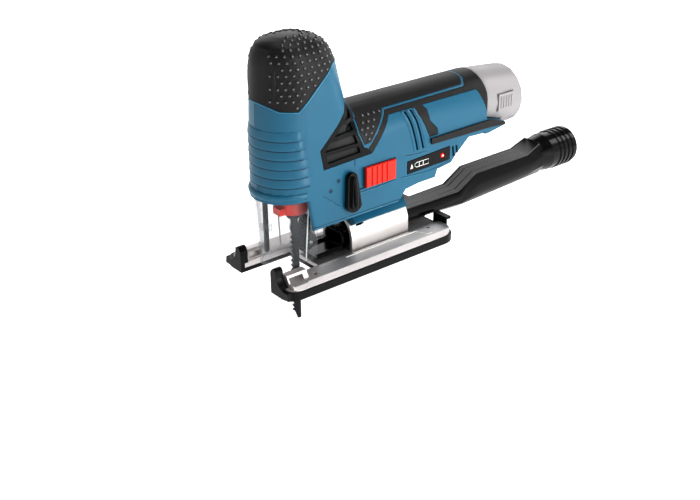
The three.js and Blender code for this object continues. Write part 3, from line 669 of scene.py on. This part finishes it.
# %% rubber cap
GRIP_CAP = [(-20, 169), (24, 166.7), (56.4, 138), (68, 139), (77, 144.5), (90, 144.5)]
GRIP_CAP += [(90, 200), (-20, 200)]
CAP_START = 4.4  # plan number where the skin starts, under the cap's lowest edge
CAP_WALL = 1.6
cap = new_piece("grip_cap_skin", skin_mesh("grip_cap_skin", tower_rings(0, CAP_START)), "black_rubber")
boolean(cap, side_plate("cap_outline", GRIP_CAP, -CUT_HALF, CUT_HALF), "INTERSECT")
boolean(cap, skin_mesh("cap_hollow", tower_rings(CAP_WALL, CAP_START - 0.4)), "DIFFERENCE")
settle(cap, "tool", 34)
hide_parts("grip_cap")
print("cap triangles:", sum(len(f.vertices) - 2 for f in cap.data.polygons))

# %% [markdown]
# ### Beads and bands
# A raised bead frames the cap where blue meets black. Below it the nose is stepped like siding, so a
# hand feels where the guard zone begins. Each band leans out towards its lower edge and fades at its ends.


# %% beads along a path
BEAD_LEAN = Vector((0.3, 0.1, 0.95))  # a direction that no bead runs along


def bead(name, path, radius_mm, finish, body, slot, closed=False, sides=8):
    """A round bead along a path of points in millimetres."""
    points = [mm(*p) for p in path]
    count = len(points)
    rings = []
    for i, point in enumerate(points):
        after = points[(i + 1) % count] if closed or i + 1 < count else point
        before = points[i - 1] if closed or i else point
        heading = (after - before).normalized()
        across = heading.cross(BEAD_LEAN).normalized()
        rise = across.cross(heading)
        turns = [2 * math.pi * k / sides for k in range(sides)]
        spokes = [across * math.cos(a) + rise * math.sin(a) for a in turns]
        rings.append([point + spoke * radius_mm * MM for spoke in spokes])
    piece = new_piece(name, ring_mesh(name, rings, closed), finish)
    return settle(piece, body, 60)


def along(outline, step):
    """Points every step millimetres along a side outline."""
    points = []
    for (ax, az), (bx, bz) in zip(outline, outline[1:]):
        count = max(1, round(math.hypot(bx - ax, bz - az) / step))
        points += [(ax + (bx - ax) * i / count, az + (bz - az) * i / count) for i in range(count)]
    return points + [outline[-1]]


RIM = [(13.2, 166.6), (24, 165.9), (56, 137.3), (68.2, 138.2), (75.1, 142.6)]
left_rim = [(x, tower_y(x, z) + 0.05, z) for x, z in along(RIM, 1.6)]
right_rim = [(x, -y, z) for x, y, z in reversed(left_rim)]
# The bead is a paler blue than the shell, a painted highlight.
bead("cap_rim_bead", left_rim + right_rim, 0.55, "blue_painted_highlight", "tool", "blue_plastic", closed=True)
print("points on the cap's rim:", 2 * len(left_rim))

# %% [markdown]
# A band could be cut into the shell, but then the shell's large triangles would show. Here each band is a
# profile swept round the nose as its own closed piece, and a dark line under it draws the shadow of its step.

# %% stepped bands on the nose
BANDS = 6
BAND_LOW = 80.4
BAND_STEP = 7.2
BAND_PROFILE = [(0, -1.0), (0, 0.75), (0.8, 1.0), (2.6, 0.8), (5.2, 0.35), (7.0, 0.05), (7.0, -1.0)]
BAND_STATIONS = 60
NOSE_RUN = NOSE * math.pi / 2  # length walked from the front round to the flat side
SCREW_CLEAR = 61.5  # two bands end in front of a case screw on the right side


def band_point(z, share, back_end, proud):
    """A point of a band. share runs from 0 at the front to 1 at the band's end on the flat side."""
    front, rear, half = tower_plan(z)
    run = share * (front - NOSE - back_end + NOSE_RUN)
    if run < NOSE_RUN:
        point, out = plan_point(front, rear, half, math.degrees(run / NOSE))
    else:
        point, out = Vector((front - NOSE - (run - NOSE_RUN), half)), Vector((0, 1))
    return point + out * proud


def nose_band(number):
    """One band: its lower edge stands proud and its upper edge runs into the skin."""
    low = BAND_LOW + BAND_STEP * number
    rings = []
    for i in range(BAND_STATIONS + 1):
        right_side = i > BAND_STATIONS / 2
        back_end = SCREW_CLEAR if right_side and number in (3, 4) else 46 + 1.8 * number
        share = abs(2 * i / BAND_STATIONS - 1)
        fade = min(1.0, (1 - share) * 14)
        ring = []
        for rise, proud in BAND_PROFILE:
            point = band_point(low + rise, share, back_end, proud * fade if proud > 0 else proud)
            ring.append((point.x, -point.y if right_side else point.y, low + rise))
        rings.append(ring)
    name = f"nose_band_{number + 1}"
    settle(new_piece(name, skin_mesh(name, rings), "blue_plastic"), "tool", 50)
    # A dark line lies in the corner under the band's proud edge.
    corner = [(ring[1][0], ring[1][1], low - 0.15) for ring in rings[2:-2]]
    bead(f"nose_line_{number + 1}", corner, 0.3, "blue_shadow", "tool", "blue_plastic", sides=6)


for number in range(BANDS):
    nose_band(number)
print("nose bands:", BANDS)

# %% [markdown]
# A soft upright ridge parts the smooth front of the cap from its dotted sides. It is a bead sunk almost
# wholly into the rubber, so that only a shallow swell shows.

# %% ridges on the cap
SIDES = (("left", 1), ("right", -1))  # the left side is at positive Y
RIDGE_TURN = 36  # degrees round from the nose
RIDGE_POINTS = 24
for side, sign in SIDES:
    path = []
    for i in range(RIDGE_POINTS):
        z = 146 + i * 1.15
        front, rear, half = tower_plan(z)
        point, out = plan_point(front, rear, half, RIDGE_TURN)
        sunk = 0.95 + 0.9 * abs(2 * i / (RIDGE_POINTS - 1) - 1) ** 3
        point = point - out * sunk
        path.append((point.x, sign * point.y, z))
    bead(f"cap_ridge_{side}", path, 1.7, "black_rubber", "tool", "black_rubber", sides=16)
print("cap ridges:", len(SIDES), "of", RIDGE_POINTS, "points")

# %% [markdown]
# ### Grip dots
# The rubber carries raised dots in staggered rows. Points are laid out on the skin first, with the way each
# faces. Geometry Nodes then put one low dome on every point, turned to face outwards.

# %% dots on the cap
DOT_PITCH = 5.6
WALK_STEP = 0.5  # degrees between plan points, and millimetres between the spots on them
FRONT_PANEL_TURN = 27  # degrees round from the nose that stay smooth
RIDGE_GAP = 4  # degrees kept clear on each side of a ridge
SKIN_SAMPLES = 600


def cap_rows():
    """Heights and plans of the rows of dots on the cap, about a pitch apart along the skin."""
    rows = []
    previous = None
    travelled = DOT_PITCH
    last = len(TOWER) - 1
    for k in range(SKIN_SAMPLES):
        row = blend_rows(TOWER, CAP_START + (last - CAP_START) * k / (SKIN_SAMPLES - 1))
        here = (row[0], row[3])
        if previous:
            travelled += math.dist(here, previous)
        previous = here
        if travelled >= DOT_PITCH * 0.8:
            travelled = 0
            rows.append(row)
    return rows


def walk_plan(front, rear, half):
    """Close spots round one side of a plan: the turn, the spot, the way out and the step walked."""
    last_point, _ = plan_point(front, rear, half, 0)
    for i in range(1, round(180 / WALK_STEP) + 1):
        turn = i * WALK_STEP
        point, out = plan_point(front, rear, half, turn)
        span = (point - last_point).length
        parts = max(1, math.ceil(span / WALK_STEP))
        for part in range(parts):
            yield turn, last_point.lerp(point, (part + 1) / parts), out, span / parts
        last_point = point


def on_cap(x, z):
    """Whether a whole dot fits inside the cap's edge."""
    return all(inside(GRIP_CAP, x + dx, z + dz) for dx, dz in ((1, -2.6), (-2, -1), (2, -2)))


def cap_dots():
    """Staggered points over the cap, away from its edge, its ridges and its smooth front panel."""
    places = []
    for number, (z, front, rear, half) in enumerate(cap_rows(), start=1):
        due = DOT_PITCH * 0.5 * (number % 2)
        walked = 0.0
        for turn, spot, out, step in walk_plan(front, rear, half):
            walked += step
            if walked < due:
                continue
            due += DOT_PITCH
            if turn < FRONT_PANEL_TURN or abs(turn - RIDGE_TURN) < RIDGE_GAP or not on_cap(spot.x, z):
                continue
            slope = max(0.0, (z - 150) / 37) ** 2 * 1.3
            for side in (1, -1):
                facing = Vector((out.x, out.y * side, slope)).normalized()
                places.append((mm(spot.x, spot.y * side, z), facing))
    return places


print("rows of dots on the cap:", len(cap_rows()))

# %% [markdown]
# The crook behind the tower has its own patch of dots on the barrel, inside a V-shaped outline. There the
# rows are straight, and each dot faces away from the motor's axis.

# %% dots on the barrel
BARREL_V = [(-3.4, 99.2), (0.7, 108.6), (-0.5, 119), (-26, 119), (-17, 109), (-9.3, 100.2)]
MOTOR_Z = 100.5
BARREL_HALF_HEIGHT = 25.5
FACE = 27.0  # distance of the body's flat sides from the middle plane


def barrel_dots():
    """Staggered points on the sides of the barrel in the crook behind the tower."""
    places = []
    for row in range(6):
        z = 102.5 + row * 4.1
        for column in range(7):
            x = -2.2 - column * 5.4 - 2.7 * (row % 2)
            lift = min(0.98, max(0.0, (z - MOTOR_Z) / BARREL_HALF_HEIGHT))
            outward = math.sqrt(1 - lift * lift)
            y = FACE * outward
            clear = all(inside(BARREL_V, x + dx, z + dz) for dx, dz in ((1.8, 0), (-1.8, 0), (0, -1.8)))
            if x > 0 or y < tower_y(x, z) or not clear:
                continue
            for side in (1, -1):
                places.append((mm(x, side * y, z), Vector((0, side * outward, lift))))
    return places


def point_cloud(name, places):
    """A mesh of loose points that stores which way each faces."""
    mesh = bpy.data.meshes.new(name)
    mesh.from_pydata([p for p, _ in places], [], [])
    facing = mesh.attributes.new("facing", "FLOAT_VECTOR", "POINT")
    facing.data.foreach_set("vector", [c for _, n in places for c in n])
    return mesh


CAP_DOTS, BARREL_DOTS = cap_dots(), barrel_dots()
print("dots on the cap:", len(CAP_DOTS), "on the barrel:", len(BARREL_DOTS))

# %% [markdown]
# Every dot has the same shape, so a tree is the short way: it makes one dome and puts it on each point. A
# tree starts from named inputs and ends by making its instances real and painting them, so two functions do
# that for any tree.


# %% tree helpers
def new_tree(name, output, **inputs):
    """An empty tree with one geometry output and named inputs, each with the kind of its socket."""
    tree = bpy.data.node_groups.new(name, "GeometryNodeTree")
    for label, kind in inputs.items():
        tree.interface.new_socket(label, in_out="INPUT", socket_type=f"NodeSocket{kind}")
    tree.interface.new_socket(output, in_out="OUTPUT", socket_type="NodeSocketGeometry")
    return tree, add(tree, "NodeGroupInput").outputs


def end_tree(tree, output, finish, **instances):
    """Puts instances on points, makes them real and paints them."""
    placed = add(tree, "GeometryNodeInstanceOnPoints", instances)
    real = add(tree, "GeometryNodeRealizeInstances", {"Geometry": placed.outputs["Instances"]})
    painted = add(
        tree,
        "GeometryNodeSetMaterial",
        {"Geometry": real.outputs["Geometry"], "Material": finish},
    )
    add(tree, "NodeGroupOutput", {output: painted.outputs["Geometry"]})
    return tree


def run_tree(name, mesh, tree, body, slot, **inputs):
    """Runs a tree on a mesh with its named inputs, and keeps the result as a plain piece."""
    piece = link(bpy.data.objects.new(name, mesh))
    run = piece.modifiers.new(name, "NODES")
    run.node_group = tree
    sockets = {s.name: s.identifier for s in tree.interface.items_tree if s.in_out == "INPUT"}
    for key, value in inputs.items():
        run[sockets[key]] = value
    plain_mesh(piece)
    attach(piece, body)
    print(name, "faces:", len(piece.data.polygons))
    return piece


# %% [markdown]
# A dome is a ball pressed flat. The lower half stays sunk in the rubber. Each dot has a darker, wider and
# lower ring under it, a painted shade round the raised dot, and the dot itself is glossy and paler than the
# rubber, a painted highlight.


# %% the dot tree
def dot_tree():
    """Domes on points: inputs are the dot's radius, its height and its finish."""
    tree, given = new_tree(
        "grip_dots", "Dots", Points="Geometry", Radius="Float", Height="Float", Finish="Material"
    )
    facing = add(tree, "GeometryNodeInputNamedAttribute", {"Name": "facing"}, data_type="FLOAT_VECTOR")
    turn = add(
        tree,
        "FunctionNodeAlignRotationToVector",
        {"Vector": facing.outputs["Attribute"]},
        axis="Z",
    )
    ball = add(
        tree,
        "GeometryNodeMeshUVSphere",
        {"Segments": 12, "Rings": 8, "Radius": given["Radius"]},
    )
    squash = add(
        tree,
        "ShaderNodeMath",
        {0: given["Height"], 1: given["Radius"]},
        operation="DIVIDE",
    )
    shape = add(tree, "ShaderNodeCombineXYZ", {"X": 1.0, "Y": 1.0, "Z": squash.outputs[0]})
    dome = add(
        tree,
        "GeometryNodeTransform",
        {"Geometry": ball.outputs["Mesh"], "Scale": shape.outputs["Vector"]},
    )
    soft = add(tree, "GeometryNodeSetShadeSmooth", {0: dome.outputs["Geometry"]})
    dots = {"Points": given["Points"], "Instance": soft.outputs[0], "Rotation": turn.outputs["Rotation"]}
    return end_tree(tree, "Dots", given["Finish"], **dots)


DOT_TREE = dot_tree()
DOT_PARTS = {
    # The dots are paler than the rubber as a painted highlight, and the rings under them are painted shade.
    "dots": {"Radius": 1.0 * MM, "Height": 0.7 * MM, "Finish": FINISH["dot_rubber_highlight"]},
    "dot_rings": {"Radius": 1.7 * MM, "Height": 0.28 * MM, "Finish": FINISH["painted_shade_black"]},
}
for part, sizes in DOT_PARTS.items():
    for place, points in (("cap", CAP_DOTS), ("barrel", BARREL_DOTS)):
        name = f"{place}_{part}"
        run_tree(name, point_cloud(name, points), DOT_TREE, "tool", "black_rubber", **sizes)

# %% [markdown]
# ## Small marks and fittings
# The side of the body carries a charge display with a plain battery mark and a warning triangle, two
# recessed stops that show where the orbital lever clicks, and shallow panel lines. Flat marks like these
# could be an image on the skin, but a thin piece stays sharp at any distance, so each is a film of its own.


# %% flat marks on the side
def side_mark(name, outline, low, high, finish, slot="blue_plastic"):
    """A flat piece with an outline seen from the side, between two distances from the middle plane."""
    return settle(new_piece(name, side_plate(name, outline, low, high), finish), "tool")


def disc(x, z, radius, sides=24):
    """A round outline."""
    turns = [2 * math.pi * k / sides for k in range(sides)]
    return [(x + radius * math.cos(t), z + radius * math.sin(t)) for t in turns]


PRINT = (FACE, FACE + 0.22)  # a film on the display
STOP = (FACE - 0.5, FACE + 0.06)  # a disc let into the wall
LED = (FACE + 0.45, FACE + 0.62)  # on top of the lamp
LOW, HIGH, PLUS_LOW, PLUS_HIGH = 67.3, 71.2, 68.1, 70.4  # heights of the battery mark and its terminal
battery_sign = [(-56, LOW), (-68.8, LOW), (-68.8, HIGH), (-56, HIGH)]
battery_sign += [(-55, PLUS_HIGH), (-54.2, PLUS_HIGH), (-54.2, PLUS_LOW), (-55, PLUS_LOW)]
sign_path = [(x, FACE + 0.1, z) for x, z in battery_sign]
bead("battery_mark", sign_path, 0.38, "white_print_and_highlight", "tool", "gloss_black", closed=True, sides=6)
for number, x in enumerate((-58.6, -62.8)):
    bar = [(x, 67.4), (x - 0.6, 67.4), (x - 0.6, 71.1), (x, 71.1)]
    side_mark(f"charge_mark_{number + 1}", bar, *PRINT, "white_print_and_highlight", "gloss_black")
triangle = [(-49.4, 67.0), (-52.6, 67.2), (-51.0, 71.2)]
side_mark("warning_triangle", triangle, *PRINT, "white_print_and_highlight", "gloss_black")
# The pale disc on the lamp is a painted highlight.
side_mark("led_painted_highlight", disc(-84, 70, 0.9, 16), *LED, "white_print_and_highlight", "red_plastic")
# The stops and the line are drawn in the blue shade colour, a painted shade of their recess.
for number, (x, z) in enumerate(((22.3, 76.6), (29.7, 70.2))):
    side_mark(f"lever_stop_{number + 1}", disc(x, z, 1.7), *STOP, "blue_shadow")
stop_line = [(5.9, 84.4), (6.9, 84.4), (6.9, 89.2), (5.9, 89.2)]
side_mark("lever_stop_line", stop_line, *STOP, "blue_shadow")
print("marks beside the display and the lever: 8")

# %% [markdown]
# The shell's panels meet in shallow grooves. A groove cut that fine would need a dense mesh, so a thin dark
# bead draws its shadow, and a lighter one under it the edge that catches the light.

# %% panel lines
PANEL_LINES = {
    "panel_line_front": [(36.5, 68), (30, 62.6), (21, 55)],
    "panel_line_switch": [(2.5, 61.4), (-16, 61.8), (-34, 62.6)],
    "panel_line_rear": [(-40, 62.4), (-66, 60.6), (-80, 61.2), (-93, 63.4)],
    "panel_line_slots": [(-44.4, 79.6), (-54, 78.6), (-66.5, 78.2)],
    "panel_line_rim": [(45.6, 44.4), (-38, 44.4)],
}
for name, outline in PANEL_LINES.items():
    for side, sign in SIDES:
        path = [(x, sign * (FACE - 0.12), z) for x, z in along(outline, 3)]
        bead(f"{name}_{side}", path, 0.34, "blue_shadow", "tool", "blue_plastic", sides=6)
        # The lighter bead under each line is a painted highlight.
        painted_highlight_ledge = [(x, y, z - 0.7) for x, y, z in path]
        bead(f"{name}_ledge_{side}", painted_highlight_ledge, 0.4, "blue_painted_highlight", "tool", "blue_plastic", sides=6)
print("panel lines a side:", len(PANEL_LINES))

# %% [markdown]
# Three rounded ribs lie between the curved cooling slots and follow the bulge of the motor. They are beads
# sunk into the wall. A fin on the orbital lever gives the thumb an edge, and a soft lip ends the nose.

# %% ribs, fin and lip
SLOT_EDGE = [(-45.6, 114.4), (-49.2, 105), (-52.4, 95), (-54.6, 87.5), (-56, 81.4)]
RIB_SHIFTS = (2.2, -3.85, -9.9)
RIB = {"finish": "blue_plastic", "body": "tool", "slot": "blue_plastic", "sides": 14}
for number, shift in enumerate(RIB_SHIFTS):
    for side, sign in SIDES:
        path = []
        for x, z in along(SLOT_EDGE, 2):
            y = FACE * math.sqrt(1 - (max(0, z - MOTOR_Z) / BARREL_HALF_HEIGHT) ** 2)
            path.append((x + shift, sign * (y - 1.0), z))
        bead(f"cooling_rib_{side}_{number + 1}", path, 1.55, **RIB)
fin = [(10.6, 33.4, 53), (10.8, 34.4, 57), (11.2, 34.6, 64), (11.6, 34.4, 72), (11.9, 33.4, 77.5)]
bead("lever_fin", fin, 1.5, "gloss_black", "lever", "black_plastic", sides=14)
LIP_SUNK = 2.4
lip = []
for turn in range(-90, 91, 5):
    front, rear, half = tower_plan(72)
    point, out = plan_point(front, rear, half, abs(turn))
    point = point - out * LIP_SUNK
    lip.append((point.x, math.copysign(point.y, turn), 72.5))
bead("nose_lip", lip, 3.6, "blue_plastic", "tool", "blue_plastic", sides=20)
print("ribs a side:", len(RIB_SHIFTS), "points on the lip:", len(lip))

# %% [markdown]
# The dust tube has a flat top, whose two moulded edges are crisp and catch a thin line of light. A bead
# along each edge, paler than the tube, draws that line as a painted highlight, and two fine ribs run between
# them, pale as painted highlights too.

# %% edges of the dust tube
TUBE_EDGE = [(4, 8.6, 22.4), (-60, 8.6, 22.4), (-92, 9.4, 22.4), (-121, 10, 22.6)]
TUBE_EDGE += [(-141, 10, 34), (-205, 10.4, 34.4), (-221, 9.6, 40.6)]
for side, sign in SIDES:
    path = [(x, sign * (y - 0.3), z - 0.25) for x, y, z in TUBE_EDGE]
    bead(f"tube_edge_{side}", path, 0.62, "painted_edge_highlight", "tube", "gloss_black", sides=12)
    line = [(x, sign * 4.2, z - 0.15) for x, y, z in TUBE_EDGE[:6]]
    bead(f"tube_line_{side}", line, 0.35, "painted_edge_highlight", "tube", "gloss_black", sides=8)
print("points on a tube edge:", len(TUBE_EDGE))

# %% [markdown]
# The clear guard is thickest along its rim, where the moulded edge catches the light. A pale bead follows the
# rim down each flank, leaning in with the wall; its colour is a painted highlight.

# %% rim of the guard
GUARD_RIM = [(58, 66.1), (47.6, 66.1), (45.9, 64.6), (45.8, 56), (46.6, 34), (46.8, 14)]
GUARD_FOOT = (12.3, 16.6)  # height and half width where the wall starts
GUARD_LEAN = 4.4 / 54.5  # the wall gets this much wider for each millimetre up
for side, sign in SIDES:
    rim_path = []
    for x, z in along(GUARD_RIM, 3):
        half_width = GUARD_FOOT[1] + GUARD_LEAN * (z - GUARD_FOOT[0])
        rim_path.append((x, sign * half_width, z))
    bead(f"guard_rim_{side}", rim_path, 0.6, "clear_edge_painted_highlight", "guard", "clear_plastic", sides=8)
print("points on a guard rim:", len(rim_path))

# %% [markdown]
# The battery's end wall has a raised ring, on which the pack can stand, and four air slots inside it. Both
# are beads half sunk into the wall, so the pack's own mesh stays simple; the slot beads are dark as painted
# shade.

# %% end wall of the battery
END_X, END_Z = -178, 96.9
steps = [2 * math.pi * k / 48 for k in range(48)]
ring = [(END_X + 0.2, 17.5 * math.cos(t), END_Z + 17 * math.sin(t)) for t in steps]
bead("battery_end_ring", ring, 0.9, "grey_plastic", "battery", "grey_plastic", closed=True, sides=12)
for number, rise in enumerate((-6, -2, 2, 6)):
    slot_line = [(END_X + 0.1, y, END_Z + rise) for y in (-9, -4.5, 0, 4.5, 9)]
    name = f"battery_air_slot_{number + 1}"
    bead(name, slot_line, 0.55, "painted_shade_black", "battery", "grey_plastic", sides=8)
print("points on the end ring:", len(ring))

# %% [markdown]
# The casting of the base carries a raised line round each wing, whose crest catches the light and is drawn
# white as a painted highlight.
# A bead half sunk into the wing keeps it a line of even width round its corners.

# %% raised lines on the base
for side, sign in SIDES:
    outline = [(15.2, 26.2), (-57, 26.2), (-61.5, 36.2), (-66, 36.2)]
    path = [(x, sign * y, 10.02) for x, y in along(outline, 3)]
    bead(f"base_line_{side}", path, 0.5, "white_print_and_highlight", "base", "cast_metal", sides=6)
print("points on a base line:", len(path))

# %% [markdown]
# ### Ribs from one tree
# Short ribs in a row give the fingers a hold on the battery's release buttons. One tree makes a row of bars
# from a count, a step and a size. It serves both buttons.


# %% the rib tree
def rib_tree():
    """A row of bars: inputs are their count, the step, the first place, a bar's size and the finish."""
    kinds = {"Count": "Int", "Step": "Vector", "Start": "Vector", "Size": "Vector", "Finish": "Material"}
    tree, given = new_tree("finger_ribs", "Ribs", **kinds)
    row = add(
        tree,
        "GeometryNodeMeshLine",
        {"Count": given["Count"], "Start Location": given["Start"], "Offset": given["Step"]},
        mode="OFFSET",
    )
    rib = add(
        tree,
        "GeometryNodeMeshCube",
        {"Size": given["Size"], "Vertices X": 3, "Vertices Y": 3, "Vertices Z": 5},
    )
    ribs = {"Points": row.outputs["Mesh"], "Instance": rib.outputs["Mesh"]}
    return end_tree(tree, "Ribs", given["Finish"], **ribs)


RIB_TREE = rib_tree()
for side, sign in SIDES:
    run_tree(
        f"button_ribs_{side}",
        bpy.data.meshes.new(f"button_ribs_{side}"),
        RIB_TREE,
        f"button_{side}",
        "grey_plastic",
        Count=5,
        Step=mm(3, 0, 0),
        Start=mm(-162.5, sign * 26.2, 99.5),
        Size=mm(1.1, 0.9, 10),
        Finish=FINISH["grey_plastic"],
    )

# %% [markdown]
# ## Room, lights and camera
# A pale floor under the blade's tip with pale walls far off, a large soft light above, and panels that draw
# long highlights on the tower and the barrel.

# %% room
ROOM_HALF = 6.0  # metres from the middle to each wall
FLOOR_Z = -0.0475
WALL_TOP = 3.5
corners = [(x * ROOM_HALF, y * ROOM_HALF) for x, y in ((-1, -1), (1, -1), (1, 1), (-1, 1))]
walls = [(i, i + 4, (i + 1) % 4 + 4, (i + 1) % 4) for i in range(4)]
room_points = [(x, y, z) for z in (FLOOR_Z, WALL_TOP) for x, y in corners]
floor_mesh = bpy.data.meshes.new("floor")
floor_mesh.from_pydata(room_points, [], [(0, 1, 2, 3)] + walls)
floor = link(bpy.data.objects.new("floor", floor_mesh))
paper, _, paper_shader, _ = new_finish("pale_floor")
paper_shader.inputs["Base Color"].default_value = linear("F4F4F4")
paper_shader.inputs["Roughness"].default_value = 0.7
paper_shader.inputs["Emission Color"].default_value = linear("FFFFFF")
paper_shader.inputs["Emission Strength"].default_value = 0.62
floor_mesh.materials.append(paper)
wall_paint = paper.copy()
wall_paint.name = "pale_wall"
wall_paint.node_tree.nodes[paper_shader.name].inputs["Emission Strength"].default_value = 0.3
floor_mesh.materials.append(wall_paint)
for wall in list(floor_mesh.polygons)[1:]:
    wall.material_index = 1
floor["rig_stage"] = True
print("room faces:", len(floor_mesh.polygons))

# %% [markdown]
# The lights are large and weak, as in a product studio. One stands behind and above, so that rubber and
# nylon both get a broad soft highlight, and a wide one at the side draws the line along the barrel.

# %% view, world and lights
bpy.context.scene.view_settings.view_transform = "Standard"
bpy.context.scene.view_settings.gamma = 0.76
world = bpy.data.worlds.new("room")
bpy.context.scene.world = world
world.use_nodes = True
world.node_tree.nodes["Background"].inputs["Color"].default_value = linear("F7F8FA")
world.node_tree.nodes["Background"].inputs["Strength"].default_value = 0.2


def panel_light(name, place, target, size, power):
    """A soft rectangular light that faces the target."""
    data = bpy.data.lights.new(name, "AREA")
    data.shape = "RECTANGLE"
    data.size, data.size_y = size
    data.energy = power
    lamp = link(bpy.data.objects.new(name, data))
    lamp.location = place
    lamp.rotation_euler = (Vector(place) - Vector(target)).to_track_quat("Z", "Y").to_euler()


# Each light's place, target and size in metres, and its power in watts.
LIGHTS = {
    "overhead": ((-0.2, 0.0, 1.2), (-0.03, 0, 0.08), (1.0, 0.5), 6),
    "back_sky": ((-0.95, -1.2, 0.8), (-0.03, 0, 0.08), (1.7, 0.75), 8),
    "low_side": ((-0.45, 1.15, 0.14), (-0.02, 0, 0.1), (0.5, 0.35), 5),
    "key": ((-0.15, 1.25, 0.75), (-0.03, 0, 0.1), (0.9, 0.45), 9),
    "rear_edge": ((-1.0, 0.3, 0.5), (-0.05, 0, 0.1), (0.3, 0.8), 4),
    "front_fill": ((1.3, -0.2, 0.5), (0, 0, 0.1), (0.25, 0.8), 1.5),
}
for name, settings in LIGHTS.items():
    panel_light(name, *settings)
print("lights:", len(LIGHTS))

# %% [markdown]
# The camera looks down a little on the front left of the tool. Its three axes are written out, because they
# were solved together with the tool's place.

# %% camera
CAMERA_PLACE = Vector((0.47405, 0.60592, 0.38899))
camera_data = bpy.data.cameras.new("camera")
camera_data.lens = 54.9
camera_data.sensor_width = 36
camera_data.clip_start = 0.01
camera = link(bpy.data.objects.new("camera", camera_data))
right = Vector((-0.77904, 0.62693, -0.00779))
up = Vector((-0.28762, -0.34630, 0.89294))
back = Vector((0.55711, 0.69788, 0.45010))
turn = Matrix((right, up, back)).transposed().to_4x4()
camera.matrix_world = Matrix.Translation(CAMERA_PLACE) @ turn
bpy.context.scene.camera = camera
print("camera:", [round(v, 3) for v in CAMERA_PLACE], "lens:", camera_data.lens)

# %% [markdown]
# The finished pieces have to keep the tool's size, so both boxes are printed.

# %% sizes and finish
sizes = {"cad": [list(v) for v in cad_box], "visual": [list(v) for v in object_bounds()]}
print(sizes)
